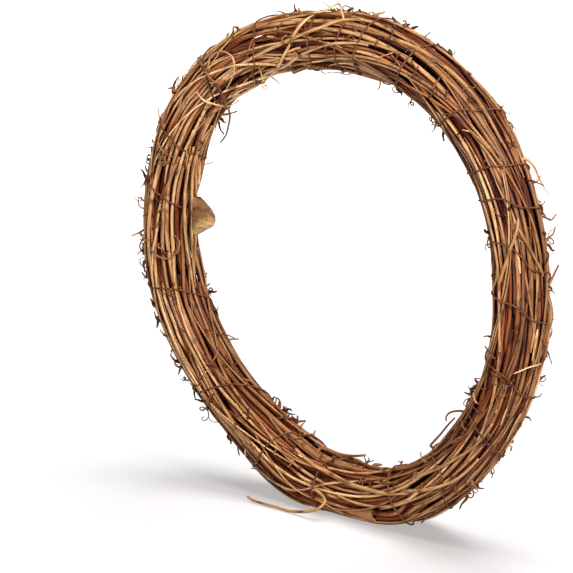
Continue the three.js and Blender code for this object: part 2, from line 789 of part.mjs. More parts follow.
const wasm = await Module();
wasm.setup();

function solidOf(geometry) {
  const bare = geometry.clone();
  bare.deleteAttribute("normal");
  bare.deleteAttribute("uv");
  const merged = mergeVertices(bare, 1e-3);
  return new wasm.Manifold(
    new wasm.Mesh({
      numProp: 3,
      vertProperties: merged.attributes.position.array,
      triVerts: new Uint32Array(merged.index.array),
    }),
  );
}

function geometryOf(solid) {
  const mesh = solid.getMesh();
  const geometry = new THREE.BufferGeometry();
  geometry.setAttribute("position", new THREE.BufferAttribute(mesh.vertProperties, 3));
  geometry.setIndex(new THREE.BufferAttribute(mesh.triVerts, 1));
  return geometry;
}

// A cut end springs away from the bundle where nothing lies in its way.
function springEnd(vine, end, before) {
  const angle = Math.atan2(end.z, end.x) / DEGREE;
  const centre = ringPoint(angle, midline(angle), 0);
  const away = end.clone().sub(centre).normalize();
  const sprung = end.clone().addScaledVector(away, END_RISE);
  const way = [0.25, 0.5, 0.75, 1].map((share) => before.clone().lerp(sprung, share));
  if (isClear(way, 1.1 * vine.radius, vine)) end.copy(sprung);
}

// The stem of a vine, with a flat underside where the ring stands on it.
function vineGeometry(vine, order) {
  const points = [];
  const acrosses = [];
  const ups = [];
  const sides = vine.inner ? INNER_SIDES : OUTER_SIDES;
  const fatness = vine.inner ? INNER_FATNESS : OUTER_FATNESS;
  order.forEach((station, n) => {
    const angle = stations[station];
    const share = n / (order.length - 1);
    const swell = 1 - (1 - TAPER) * share * share;
    const radius = vine.radius * swell * fatness;
    points.push(ringPoint(angle, midline(angle) + vine.out[station], vine.back[station]));
    acrosses.push(ringPoint(angle, radius, 0));
    ups.push(new THREE.Vector3(0, radius, 0));
  });
  springEnd(vine, points[0], points[1]);
  springEnd(vine, points.at(-1), points.at(-2));
  const geometry = stemGeometry(points, acrosses, ups, sides);
  const position = geometry.attributes.position;
  for (let n = 0; n < position.count; n++) {
    if (position.getZ(n) < -RING_CENTRE_Z) position.setZ(n, -RING_CENTRE_Z);
  }
  return geometry;
}

const ring = new THREE.Group();
ring.position.set(RING_CENTRE_X, 0, RING_CENTRE_Z);

function addMesh(name, geometry, colour, roughness, metalness) {
  const material = new THREE.MeshStandardMaterial({ color: colour, roughness, metalness });
  const mesh = new THREE.Mesh(geometry, material);
  mesh.name = name;
  ring.add(mesh);
}

vines.forEach((vine, n) => {
  const depths = vine.out.map((out, s) => Math.hypot(out, vine.back[s]));
  vine.inner = depths.reduce((sum, depth) => sum + depth, 0) / STATIONS < INNER_DEPTH;
  const stem = vineGeometry(vine, vineStations(vine));
  const colour = STEM_COLOURS[Math.floor(between(0, STEM_COLOURS.length))];
  let geometry = stem;
  if (vine.growth.length) {
    const solid = vine.growth.reduce((whole, part) => whole.add(solidOf(part)), solidOf(stem));
    geometry = geometryOf(solid);
  }
  addMesh("vine_" + String(n + 1).padStart(2, "0"), geometry, colour, 0.75, 0);
});

addMesh("dried_leaf", leaf, 0xa08a52, 0.8, 0);
addMesh("bark_flake", flake, 0x9a6738, 0.85, 0);
addMesh("binding_wire", freeStem(wire, () => WIRE_RADIUS, 3), 0x3a2418, 0.55, 0.6);

const part = new THREE.Group();
part.add(ring);

export default part;
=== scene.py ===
"""A grapevine wreath: thin dry vine stems laid in a standing ring and bound with one thin wire.

Shapes are worked out in millimetres and written to the meshes in metres. A place in the ring is given by
its ring angle, from +X towards +Z, its radius from the ring's centre and its y. In the bundle's cross
section a direction is given by its section angle: 0 points away from the ring's centre, 90 to the front,
180 to the hole and 270 to the back.
"""
import json
import math

import bmesh
import bpy
import numpy as np
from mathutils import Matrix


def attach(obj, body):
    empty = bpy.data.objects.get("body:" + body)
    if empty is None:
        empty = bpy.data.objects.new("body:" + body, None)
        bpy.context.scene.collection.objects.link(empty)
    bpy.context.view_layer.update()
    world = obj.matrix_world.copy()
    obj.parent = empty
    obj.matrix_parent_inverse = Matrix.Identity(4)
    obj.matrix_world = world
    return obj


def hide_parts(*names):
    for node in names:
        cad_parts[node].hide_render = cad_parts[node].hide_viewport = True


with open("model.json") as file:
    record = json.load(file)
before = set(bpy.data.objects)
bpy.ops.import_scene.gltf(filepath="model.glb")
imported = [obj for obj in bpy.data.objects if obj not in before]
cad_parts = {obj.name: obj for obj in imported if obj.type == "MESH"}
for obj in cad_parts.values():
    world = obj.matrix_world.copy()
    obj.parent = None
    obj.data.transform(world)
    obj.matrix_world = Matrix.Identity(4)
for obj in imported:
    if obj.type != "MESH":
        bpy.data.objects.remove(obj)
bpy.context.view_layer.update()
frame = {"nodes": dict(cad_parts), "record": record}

MM = 0.001
RING_CENTRE = np.array([2.2, 0.0, 148.5])

# How the frame's stems are drawn: a section of four sides or of three at each of these ring angles
STATION_STEP = 9
FOOT_STATIONS = [252, 260, 264.5, 267.5, 272.5, 275.5, 283, 290]
STATIONS = sorted(
    [a for a in range(0, 360, STATION_STEP) if not FOOT_STATIONS[0] <= a <= FOOT_STATIONS[-1]]
    + FOOT_STATIONS
)
STATION_TOLERANCE = 0.05  # degrees
SECTION_REACH = 3.2  # millimetres from its middle to its corners, at most
SECTION_WIDTH = {4: math.sqrt(2), 3: 1.5}  # in radii
FATNESS = {4: 1.08, 3: 1.2}  # a section is drawn this much larger than the stem
SAME_PLANE = 0.999  # least cosine between two triangles of a square

# The finer stems. Lengths are in millimetres, sizes in shares of the stem's radius
STEM_SIDES = 10
STEM_STEP = 0.6  # degrees of the ring
WOBBLE = 0.14  # millimetres that a stem wanders
WANDER = ((14, 1), (5, 0.3))  # degrees that this takes, and its share
END_FADE = 6  # degrees at each end over which this stops
KNOT_SPACING = (48, 110)
KNOT_SIZE = (0.14, 0.3)
KNOT_LENGTH = 2.2
KNOT_DARKNESS = (0.2, 0.9)
SWELLING = (22, 0.045)  # length and size of a stem's slow swelling
RIDGES = (2, 3, 4, 5)  # bark ridges round a stem
RIDGE_DEPTH = 0.05
RIDGE_WANDER = (30, 0.375)  # length over which they stray, and radians that they do
STRIP_SPACING = 55  # length of stem for each loose strip
STRIP_LENGTH = (5, 26)
STRIP_WIDTH = (0.5, 1.2)  # radians to each side
STRIP_HEIGHT = 0.06
END_STEP = 0.06  # between the rings of points that close a cut end
END_SIZE = 0.84  # their size
PATTERN_LENGTH = 900  # length of the bark's pattern in which a strand starts anywhere
SHADE_DEPTH = 6.5  # depth in the bundle at which the painted shade on the bark is darkest
LOWEST = 0.02  # no point lies nearer to the floor

# Thin stems that fill the bundle between the thick ones. Lengths are in millimetres, arcs in degrees
THIN_COUNT = 60
THIN_SIDES = 8
THIN_STEP = 0.9
THIN_RADIUS = (0.6, 1.15)
THIN_ARC = (60, 300)
THIN_DEPTH = (0.7, 1.0)  # where they start, as a share of the bundle's size
THIN_SWING = (0.1, 0.6)  # radians that they swing round the bundle
THIN_WOBBLE = 0.12
THIN_TONE = (0.1, 0.95)
THIN_TAPER = ([0, 0.06, 0.9, 1], [0.8, 1, 1, 0.55])  # places along the stem and their sizes
THIN_GAP = 0.1
THIN_ROUNDS = 110
THIN_SPREAD = 0.4  # millimetres that the bundle may grow by
SMOOTHING = 0.3  # share by which the first round straightens a stem
SMOOTHING_FALL = 1.4  # how soon that gets less, down to the least share of it
LEAST_SMOOTHING = 0.1
PUSH = 0.6  # share of an overlap that a round takes away
STEEP = 0.3  # how far down the ring runs where the floor is near
SMOOTHING_ROUNDS = 8
GRID_STEP = 2  # degrees between the places where they are settled
HULL_DIRECTIONS = 72
LEAST_FACING = 0.05  # least cosine at which one direction counts as facing another

# Thin stems laid in the grooves between the others
GROOVE_COUNT = 110
GROOVE_SIZES = (1.15, 0.95, 0.8, 0.65)
GROOVE_STEPS = (14, 64)  # least and most length, in steps of the grid
GROOVE_LEAST = -0.5  # a stem may stand out this far over the outline
GROOVE_ROOM = 0.25  # least room at the place where a stem starts
GROOVE_BEND = 0.15  # room that is given up to run straight on
FLOOR_GAP = 0.15
TAKEN = 9  # set against a place where no stem may lie
GROOVE_TAPER = ([0, 0.05, 0.9, 1], [0.8, 1, 1, 0.6])
END_DIP = 1.6  # radii by which the ends dip in between their neighbours

# Stems that cross the face of the bundle at a slant
CROSSING_COUNT = 42
CROSSING_RADIUS = (0.4, 0.85)
CROSSING_ARC = (36, 100)
CROSSING_START = (-60, 80)  # section angles
CROSSING_TURN = (60, 150)
CROSSING_TONE = (0.2, 0.95)
AT_THE_BACK = 0.35  # share of them that cross at the back, this far round
BACK_TURN = 150
CROSSING_HEIGHTS = ([0, 0.16, 0.84, 1], [-2.6, 0.7, 0.7, -2.6])  # places along it and heights, in radii
LAID_TAPER = ([0, 0.1, 0.8, 1], [0.8, 1, 0.9, 0.6])
LAID_EASING = 4  # rounds in which its height over the others is evened

# Growth. Lengths are in millimetres
GROWTH_STEP = 0.45
ROOT_DEPTH = 2.2
STUB_COUNT = 90
STUB_LENGTH = (1.5, 6)
STUB_LEAN = (0.4, 2.4)  # degrees of the ring
STUB_RADIUS = (0.3, 0.72)
STUB_SIZES = (1.4, 1.5, 0.85, 0.55)  # from its root to its tip
TENDRIL_COUNT = 50
TENDRIL_TURNS = (0.4, 1.7)
TENDRIL_CURL = (1.2, 3.6)
TENDRIL_STALK = (0.5, 4)
TENDRIL_RADIUS = (0.2, 0.4)
SHRED_COUNT = 120
SHRED_LENGTH = (3, 11)  # degrees of the ring
SHRED_RADIUS = (0.4, 1.1)
SHRED_LIFT = (0.2, 2.2)
SHRED_SIZES = (0.6, 1, 1, 0.9, 0.6, 0.25)

# Binding wire
WIRE_RADIUS = 0.48
WIRE_SIDES = 8
WIRE_GAP = 0.05
WIRE_FINER = 6
WIRE_FLOOR_GAP = 0.06

# Ring angle and how much paler the bark is drawn there than elsewhere: partly its own tone, partly painted
# light and shade
RING_TONE_AND_LIGHT = [
    (0, -0.05), (30, -0.2), (60, -0.12), (95, 0.22), (125, 0.5), (145, 0.4), (190, 0.05), (230, -0.05),
    (255, 0.2), (285, 0.2), (315, 0.05),
]

chance = np.random.default_rng(1907)


def ring_place(points):
    """Ring angle, radius and y of points in millimetres."""
    out = np.asarray(points) - RING_CENTRE
    return np.degrees(np.arctan2(out[:, 2], out[:, 0])) % 360, np.hypot(out[:, 0], out[:, 2]), out[:, 1]


def ring_points(angle, radius, y):
    """Points in millimetres at ring angles, radii and y."""
    turn = np.radians(angle)
    return np.stack([radius * np.cos(turn), y + 0 * turn, radius * np.sin(turn)], 1) + RING_CENTRE


def smooth_line(at, values, fine):
    """Values given at the places at, drawn as a smooth curve at the places fine."""
    slopes = np.gradient(values, at, axis=0)
    n = np.clip(np.searchsorted(at, fine, side="right") - 1, 0, len(at) - 2)
    span = (at[n + 1] - at[n])[:, None]
    t = (fine[:, None] - at[n][:, None]) / span
    start = (2 * t**3 - 3 * t**2 + 1) * values[n] + (t**3 - 2 * t**2 + t) * span * slopes[n]
    return start + (3 * t**2 - 2 * t**3) * values[n + 1] + (t**3 - t**2) * span * slopes[n + 1]


def unwound(angles):
    """Angles in degrees that run on past a full turn."""
    return np.degrees(np.unwrap(np.radians(angles)))


def lengths_along(points):
    """How far along a line each of its points lies."""
    return np.concatenate([[0], np.cumsum(np.linalg.norm(np.diff(points, axis=0), axis=1))])


def redrawn(points, radii, step):
    """A line with a radius at each point, drawn again as a smooth curve with a point every step."""
    at = lengths_along(points)
    fine = np.linspace(0, at[-1], max(4, int(at[-1] / step)))
    smooth = smooth_line(at, np.column_stack([points, radii]), fine)
    return smooth[:, :3], smooth[:, 3]


def tapered(radii, places, sizes):
    """Radii made larger or smaller along a stem: places run from 0 to 1."""
    return radii * np.interp(np.linspace(0, 1, len(radii)), places, sizes)


def slow_noise(at, wavelength, size):
    """A smooth random line through the places at, that changes over about a wavelength."""
    count = int((at[-1] - at[0]) / wavelength) + 4
    knots = np.linspace(at[0] - wavelength, at[-1] + wavelength, count)
    return smooth_line(knots, chance.normal(0, size, (count, 1)), at)[:, 0]


# Reading the frame


def merged(node):
    """A frame node's solid, in millimetres, with its loose triangles joined."""
    solid = bmesh.new()
    solid.from_mesh(frame["nodes"][node].data)
    bmesh.ops.scale(solid, vec=(1 / MM,) * 3, verts=solid.verts)
    bmesh.ops.remove_doubles(solid, verts=solid.verts, dist=0.001)
    solid.verts.ensure_lookup_table()
    solid.normal_update()
    return solid


def neighbours(verts):
    """The vertices next to a set of vertices, and not in it."""
    return {e.other_vert(v) for v in verts for e in v.link_edges} - verts


def tube_tips(solid, stem):
    """The end faces of the tubes that stand on a stem, triangles or squares, each as its set of vertices."""
    ends = [set(face.verts) for face in solid.faces]
    for edge in solid.edges:
        faces = edge.link_faces
        if len(faces) == 2 and faces[0].normal.dot(faces[1].normal) >= SAME_PLANE:
            ends.append(set(faces[0].verts) | set(faces[1].verts))
    return [end for end in ends if not end & stem and len(neighbours(end)) == len(end)]


def tube_line(tip, stem):
    """The middle line and the radii of a tube, walked ring by ring from its tip."""
    ring, seen = set(tip), set(tip)
    middles, radii = [], []
    while len(ring) == len(tip) and not ring & stem:
        corners = np.array([v.co for v in ring])
        middles.append(corners.mean(0))
        radii.append(np.linalg.norm(corners - middles[-1], axis=1).mean())
        ring = neighbours(ring) - seen
        seen |= ring
    return np.array(middles), np.array(radii)


def read_vine(node):
    """A vine of the frame: its stem as ring angle, radius, y and size, and the tubes that grow from it."""
    solid = merged(node)
    points = np.array([v.co for v in solid.verts])
    angle, radius, y = ring_place(points)
    sections = {}
    for station in STATIONS:
        off = np.abs((angle - station + 180) % 360 - 180)
        near = np.flatnonzero(off < STATION_TOLERANCE)
        if len(near) > 1:
            middle = np.median(radius[near]), np.median(y[near])
            off = np.hypot(radius[near] - middle[0], y[near] - middle[1])
            sections[station] = near[off < SECTION_REACH]
    counts = [len(near) for near in sections.values()]
    sides = 4 if counts.count(4) > counts.count(3) else 3
    rows = []
    for station, near in sections.items():
        if len(near) != sides:
            continue
        low, high = radius[near].min(), radius[near].max()
        size = (high - low) / SECTION_WIDTH[sides]
        middle = (low + high) / 2 if sides == 4 else low + size
        rows.append((station, middle, (y[near].min() + y[near].max()) / 2, size / FATNESS[sides]))
    rows = np.array(rows)
    gaps = np.diff(np.append(rows[:, 0], rows[0, 0] + 360))
    rows = np.roll(rows, -1 - int(gaps.argmax()), axis=0)
    rows[:, 0] = unwound(rows[:, 0])
    stem = {solid.verts[n] for near in sections.values() for n in near}
    growth = [tube_line(tip, stem) for tip in tube_tips(solid, stem)]
    solid.free()
    return rows, [line for line in growth if len(line[0]) > 1]


vine_nodes = sorted(name for name in frame["nodes"] if name.startswith("vine_"))
vines = {name: read_vine(name) for name in vine_nodes}
slot_of = {part["node"]: part["material_slot"] for part in frame["record"]["subparts"]}

# The bundle at even places round the ring: one row for each vine, empty where a vine's two ends lie
grid = np.arange(0, 360, GRID_STEP)


def grid_from(start):
    """The grid's ring angles, each counted on to the first time that it comes after a start."""
    return grid + 360 * np.ceil((start - grid) / 360)


def on_grid(rows):
    """Radius, y and size of a vine at the grid's ring angles."""
    fine = grid_from(rows[0, 0])
    values = smooth_line(rows[:, 0], rows[:, 1:], np.clip(fine, rows[0, 0], rows[-1, 0]))
    values[fine > rows[-1, 0]] = np.nan
    return values.T


held = np.array([on_grid(rows) for rows, growth in vines.values()])
middle_radius = np.nanmean(held[:, 0], axis=0)
bundle_size = np.nanmax(np.hypot(held[:, 0] - middle_radius, held[:, 1]) + held[:, 2], axis=0)


def round_ring(values, angle):
    """A value that is known on the grid, at any ring angles."""
    return np.interp(angle, grid, values, period=360)


def ring_line(angles, directions, reach):
    """Points at ring angles, directions and distances from the bundle's middle."""
    radius = round_ring(middle_radius, angles) + reach * np.cos(directions)
    return ring_points(angles, radius, -reach * np.sin(directions))


# Strands: lines with a radius at each point, from which all stems, tendrils and wire are made


def strand(points, radii, tone, **more):
    """A line with its radii, its tone, which is higher where it is paler, and what else is known of it."""
    return {"points": np.asarray(points), "radii": np.asarray(radii), "tone": tone, **more}


def stem_strand(rows, tone, wobble=WOBBLE, step=STEM_STEP):
    """A stem along ring places, with knots where leaves have sat and a little wander of its own."""
    fine = np.arange(rows[0, 0], rows[-1, 0], step)
    radius, y, size = smooth_line(rows[:, 0], rows[:, 1:], fine).T
    fade = np.minimum(1, np.minimum(fine - fine[0], fine[-1] - fine) / END_FADE)
    for values in (radius, y):
        for wavelength, share in WANDER:
            values += fade * slow_noise(fine, wavelength, share * wobble)
    return strand(ring_points(fine, radius, y), size, tone, knots=True)


def with_knots(points, radii):
    """Radii that swell at the knots of a stem, and how much darker each point is."""
    at = lengths_along(points)
    radii = radii * (1 + slow_noise(at, *SWELLING))
    darker = np.zeros(len(at))
    place = chance.uniform(0, KNOT_SPACING[0])
    while place < at[-1]:
        near = np.exp(-(((at - place) / KNOT_LENGTH) ** 2))
        radii = radii * (1 + chance.uniform(*KNOT_SIZE) * near)
        darker = np.maximum(darker, chance.uniform(*KNOT_DARKNESS) * near**2)
        place += chance.uniform(*KNOT_SPACING)
    return radii, darker


def with_ends(item):
    """A strand with two more rings at each end, which close its cut face."""
    points, radii = item["points"], item["radii"]
    outward = [points[0] - points[1], points[-1] - points[-2]]
    outward = [step / np.linalg.norm(step) for step in outward]
    before = [points[0] + outward[0] * reach for reach in (2 * END_STEP, END_STEP)]
    after = [points[-1] + outward[1] * reach for reach in (END_STEP, 2 * END_STEP)]
    sizes = np.concatenate([[0, END_SIZE * radii[0]], radii, [END_SIZE * radii[-1], 0]])
    cut = np.concatenate([[1, 1], np.zeros(len(points)), [1, 1]])
    return np.vstack([before, points, after]), sizes, cut


def relief(at, around):
    """Bark relief of a stem, as a share of its radius: slow ridges that run along it, and loose strips."""
    height = np.zeros((len(at), len(around)))
    for folds in RIDGES:
        phase = chance.uniform(0, 2 * math.pi) + slow_noise(at, *RIDGE_WANDER)
        height += RIDGE_DEPTH * chance.uniform(0.3, 1) * np.cos(folds * around[None] + phase[:, None])
    for _ in range(int(at[-1] / STRIP_SPACING)):
        start, length = chance.uniform(0, at[-1]), chance.uniform(*STRIP_LENGTH)
        facing, width = chance.uniform(0, 2 * math.pi), chance.uniform(*STRIP_WIDTH)
        along = (at > start) & (at < start + length)
        across = np.abs((around - facing + math.pi) % (2 * math.pi) - math.pi) < width
        height += STRIP_HEIGHT * along[:, None] * across[None]
    return height


def depth_in_bundle(points):
    """How deep points lie under the outside of the bundle, in millimetres."""
    angle, radius, y = ring_place(points)
    out = radius - round_ring(middle_radius, angle)
    return looked_up(surface, angle, np.arctan2(-y, out)) - np.hypot(out, y)


def ring_tone_and_light_at(points):
    """How much paler bark is drawn at points than elsewhere: partly its own tone, partly painted light and
    shade, palest at the upper left.
    """
    places, values = zip(*RING_TONE_AND_LIGHT)
    return np.interp(ring_place(points)[0], places, values, period=360)


def in_scene(name, data):
    """A new object in the scene, with its mesh, curve, lamp or camera."""
    item = bpy.data.objects.new(name, data)
    bpy.context.scene.collection.objects.link(item)
    return item


def tube_mesh(name, tubes, sides):
    """A bevelled curve through the points of each tube, made a mesh."""
    curve = bpy.data.curves.new(name, "CURVE")
    curve.dimensions = "3D"
    curve.bevel_mode = "ROUND"
    curve.bevel_depth = MM
    curve.bevel_resolution = (sides - 4) // 2
    for points, radii, cut, item in tubes:
        spline = curve.splines.new("POLY")
        spline.points.add(len(points) - 1)
        flat = np.column_stack([points * MM, np.ones(len(points))])
        spline.points.foreach_set("co", flat.ravel())
        spline.points.foreach_set("radius", radii)
    holder = in_scene(name + "_curve", curve)
    mesh = bpy.data.meshes.new_from_object(holder)
    bpy.data.objects.remove(holder)
    return mesh


def make_strands(name, strands, sides, material, rough=1.0):
    """One piece made of strands: a tube for each, with bark relief pressed into its surface.

    Its material reads the place in the bark's pattern, the tone, where the cut ends are and how deep in
    the bundle each point lies."""
    tubes = []
    for item in strands:
        if item.get("knots"):
            radii, darker = with_knots(item["points"], item["radii"])
            item = {**item, "radii": radii, "tone": item["tone"] - darker}
        tubes.append((*with_ends(item), item))
    mesh = tube_mesh(name, tubes, sides)
    count = len(mesh.vertices)
    co = np.zeros(3 * count)
    mesh.vertices.foreach_get("co", co)
    co = co.reshape(-1, 3) / MM
    bark, tone, closed = np.zeros((count, 3)), np.zeros(count), np.zeros(count)
    around = np.arange(sides) / sides * 2 * math.pi
    first = 0
    for points, radii, cut, item in tubes:
        last = first + len(points) * sides
        at = lengths_along(points)
        offset = co[first:last].reshape(len(points), sides, 3) - points[:, None]
        if rough:
            offset *= 1 + rough * relief(at, around)[..., None]
        if "flat" in item:
            out = item["flat"] / np.linalg.norm(item["flat"])
            offset -= (1 - item["thin"]) * (offset @ out)[..., None] * out
        co[first:last] = (points[:, None] + offset).reshape(-1, 3)
        own = chance.uniform(0, PATTERN_LENGTH)
        size = radii[:, None] * np.ones(sides)
        place = [at[:, None] + own + 0 * size, size * np.cos(around), size * np.sin(around)]
        bark[first:last] = np.stack(place, 2).reshape(-1, 3)
        own_tone = np.broadcast_to(item["tone"], len(points) - 4)
        tone[first:last] = np.repeat(np.pad(own_tone, 2, mode="edge"), sides)
        closed[first:last] = np.repeat(cut, sides)
        first = last
    co[:, 2] = np.maximum(co[:, 2], LOWEST)
    mesh.vertices.foreach_set("co", (co * MM).ravel())
    mesh.attributes.new("bark", "FLOAT_VECTOR", "POINT").data.foreach_set("vector", bark.ravel())
    # How deep each point lies in the bundle, which the bark's material turns into painted shade
    depth = np.clip(depth_in_bundle(co) / SHADE_DEPTH, 0, 1)
    for key, values in (("depth", depth), ("tone", tone + ring_tone_and_light_at(co)), ("cut", closed)):
        mesh.attributes.new(key, "FLOAT", "POINT").data.foreach_set("value", values)
    piece = in_scene(name, mesh)
    finish_piece(piece, material)
    return piece


def finish_piece(piece, material):
    """Closes a piece's tips, smooths its shading, and gives it its material and its body."""
    shape = bmesh.new()
    shape.from_mesh(piece.data)
    bmesh.ops.remove_doubles(shape, verts=shape.verts, dist=0.001 * MM)
    bmesh.ops.recalc_face_normals(shape, faces=shape.faces)
    for face in shape.faces:
        face.smooth = True
    shape.to_mesh(piece.data)
    shape.free()
    piece.data.materials.clear()
    piece.data.materials.append(material)
    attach(piece, "root")


# Materials


def linear(code):
    """An sRGB hex colour as linear red, green, blue and alpha."""
    parts = [int(code[n : n + 2], 16) / 255 for n in (1, 3, 5)]
    return [p / 12.92 if p <= 0.04045 else ((p + 0.055) / 1.055) ** 2.4 for p in parts] + [1]


def add(tree, kind, inputs=None, links=None, stops=(), out=0, **settings):
    """Adds a node to a material, with its settings, fixed inputs and links, and gives one of its outputs.

    The stops are those of a colour ramp: each has a place and an sRGB hex colour."""
    node = tree.nodes.new("ShaderNode" + kind)
    for key, value in settings.items():
        setattr(node, key, value)
    for key, value in (inputs or {}).items():
        node.inputs[key].default_value = value
    for key, socket in (links or {}).items():
        tree.links.new(socket, node.inputs[key])
    for _ in stops[2:]:
        node.color_ramp.elements.new(0.5)
    for n, (place, code) in enumerate(stops):
        node.color_ramp.elements[n].position = place
        node.color_ramp.elements[n].color = linear(code)
    return node.outputs[out] if node.outputs else None


# Settings of a Mix node, whose colours are its inputs 6 and 7, and names of a Map Range node's inputs
BLEND = {"out": 2, "data_type": "RGBA", "blend_type": "MIX"}
MULTIPLY = {"out": 2, "data_type": "RGBA", "blend_type": "MULTIPLY"}
SPANS = ("From Min", "From Max", "To Min", "To Max")


def new_material(name):
    """An empty material and its node tree."""
    material = bpy.data.materials.new(name)
    material.use_nodes = True
    material.node_tree.nodes.clear()
    return material, material.node_tree


def streaks(tree, bark, along, across, detail):
    """A pattern drawn out along a stem: its size along and across, in millimetres."""
    scale = (1 / along, 1 / across, 1 / across)
    place = add(tree, "Mapping", {"Scale": scale}, {"Vector": bark})
    settings = {"Scale": 1.0, "Detail": detail, "Roughness": 0.6}
    return add(tree, "TexNoise", settings, {"Vector": place})


def put_together(tree, values, links, height=None, strength=0, depth=0):
    """Ends a material: its shader with fixed values and links, over a relief of a depth in millimetres."""
    if height is not None:
        distance = {"Strength": strength, "Distance": depth * MM}
        links = {**links, "Normal": add(tree, "Bump", distance, {"Height": height})}
    shader = add(tree, "BsdfPrincipled", values, links)
    add(tree, "OutputMaterial", links={"Surface": shader})


def vine_bark(name, shades, roughness, specular):
    """Air-dried grapevine bark, peeled by hand, in shades from its darkest to its palest.

    The eye sees fibres that run along each stem, pale where the outer bark has come off, with blotches
    26 mm long and dark grooves 1 mm apart. Real fibres are about 0.1 mm wide, too fine to show, so they
    are drawn coarser, at 0.55 mm. Deeper in the bundle the bark is painted darker and redder, as painted
    shade for the shadow and the light bounced between the stems, and it is quite matt there. A cut end
    shows pale wood."""
    material, tree = new_material(name)
    bark = add(tree, "Attribute", out="Vector", attribute_name="bark")
    tone, cut, depth = (
        add(tree, "Attribute", out="Fac", attribute_name=key) for key in ("tone", "cut", "depth")
    )
    patches = streaks(tree, bark, 26, 4, 4)
    fibres = streaks(tree, bark, 8, 0.55, 4)
    grooves = streaks(tree, bark, 18, 1.1, 2)
    spread = add(tree, "Math", {1: 0.6, 2: -0.3}, {0: patches}, operation="MULTIPLY_ADD")
    level = add(tree, "Math", {1: 0.7}, {0: tone, 2: spread}, operation="MULTIPLY_ADD")
    stops = list(zip((0, 0.25, 0.5, 0.75, 1), shades.split()))
    colour = add(tree, "ValToRGB", links={"Fac": level}, stops=stops)
    # The fibres and the grooves each darken the bark by a share; the depth in the bundle darkens and reddens
    # it as painted shade
    for share, pattern, stops in (
        (0.8, fibres, [(0.34, "#A5835F"), (0.54, "#FFFFFF")]),
        (0.85, grooves, [(0.35, "#7A4A26"), (0.46, "#FFFFFF")]),
        (1.0, depth, [(0.06, "#FFFFFF"), (0.22, "#C4906A"), (0.42, "#92562F"), (0.8, "#7C451C")]),
    ):
        layer = add(tree, "ValToRGB", links={"Fac": pattern}, stops=stops)
        colour = add(tree, "Mix", {0: share}, {6: colour, 7: layer}, **MULTIPLY)
    colour = add(tree, "Mix", {7: linear(CUT_WOOD)}, {0: cut, 6: colour}, **BLEND)
    spans = dict(zip(SPANS, (0.04, 0.25, roughness, 1.0)))
    matt = add(tree, "MapRange", spans, {"Value": depth})
    values = {"IOR": 1.45, "Specular IOR Level": specular}
    put_together(tree, values, {"Base Color": colour, "Roughness": matt}, fibres, 0.6, 0.12)
    return material


CUT_WOOD = "#8A6E48"
# Slot, material, shades, roughness and specular level of each bark
BARK_KINDS = [
    ("light", "air_dried_grapevine_bark_tan", "#5C3A1A #7E5831 #9A764D #B49468 #CCB088", 0.44, 0.3),
    ("brown", "air_dried_grapevine_bark_brown", "#48290F #684323 #855F3B #A07C55 #BC9A74", 0.44, 0.3),
    ("dark", "weathered_grapevine_bark", "#3C1E09 #593417 #744C2A #8E6841 #A8845C", 0.52, 0.15),
]
BARKS = {"vine_bark_" + kind: vine_bark(*values) for kind, *values in BARK_KINDS}


def rusty_wire():
    """Annealed iron binding wire, left to rust: a thin dark brown wire, barely shiny.

    Its rusty spots are drawn coarser, 2.5 mm long, because real ones are too fine to show."""
    material, tree = new_material("annealed_iron_wire_rusted")
    bark = add(tree, "Attribute", out="Vector", attribute_name="bark")
    spots = streaks(tree, bark, 2.5, 0.8, 3)
    stops = [(0.35, "#2C1408"), (0.55, "#492410"), (0.7, "#69391A")]
    colour = add(tree, "ValToRGB", links={"Fac": spots}, stops=stops)
    values = {"Roughness": 0.65, "Specular IOR Level": 0.18}
    put_together(tree, values, {"Base Color": colour}, spots, 0.4, 0.05)
    return material


def dry_leaf():
    """A dead vine leaf, dried and curled in the air.

    The eye sees papery golden brown with dark brown blotches about 4 mm across, paler veins, pale specks
    about 1 mm apart, and a thin dark rim."""
    material, tree = new_material("dried_vine_leaf")
    place = add(tree, "TexCoord", out="Object")
    blotches, specks = (
        add(tree, "TexNoise", {"Scale": scale, "Detail": detail}, {"Vector": place})
        for scale, detail in ((260, 4), (900, 2))
    )
    vein, height, rim = (
        add(tree, "Attribute", out="Fac", attribute_name=key) for key in ("vein", "height", "rim")
    )
    spread = add(tree, "Math", {1: 0.5, 2: -0.25}, {0: blotches}, operation="MULTIPLY_ADD")
    level = add(tree, "Math", {}, {0: spread, 1: height}, operation="ADD")
    # Its colours from its lower end up, then the dark of its blotches and where its pale specks are
    stops = [
        (0.05, "#665434"), (0.22, "#98825C"), (0.42, "#856840"), (0.6, "#53371A"), (0.75, "#4E3216"),
        (0.95, "#66482A"),
    ]
    base = add(tree, "ValToRGB", links={"Fac": level}, stops=stops)
    dark = add(tree, "ValToRGB", links={"Fac": blotches}, stops=[(0.36, "#54391C"), (0.5, "#FFFFFF")])
    pale = add(tree, "ValToRGB", links={"Fac": specks}, stops=[(0.68, "#000000"), (0.74, "#B0B0B0")])
    colour = add(tree, "Mix", {0: 0.8}, {6: base, 7: dark}, **MULTIPLY)
    for share, code in ((vein, "#4E3014"), (pale, "#CDBB94"), (rim, "#4A3B28")):
        colour = add(tree, "Mix", {7: linear(code)}, {0: share, 6: colour}, **BLEND)
    values = {
        "Roughness": 0.65, "Specular IOR Level": 0.15, "Subsurface Weight": 0.05, "Subsurface Scale": 0.001,
    }
    put_together(tree, values, {"Base Color": colour}, blotches, 0.7, 0.2)
    return material


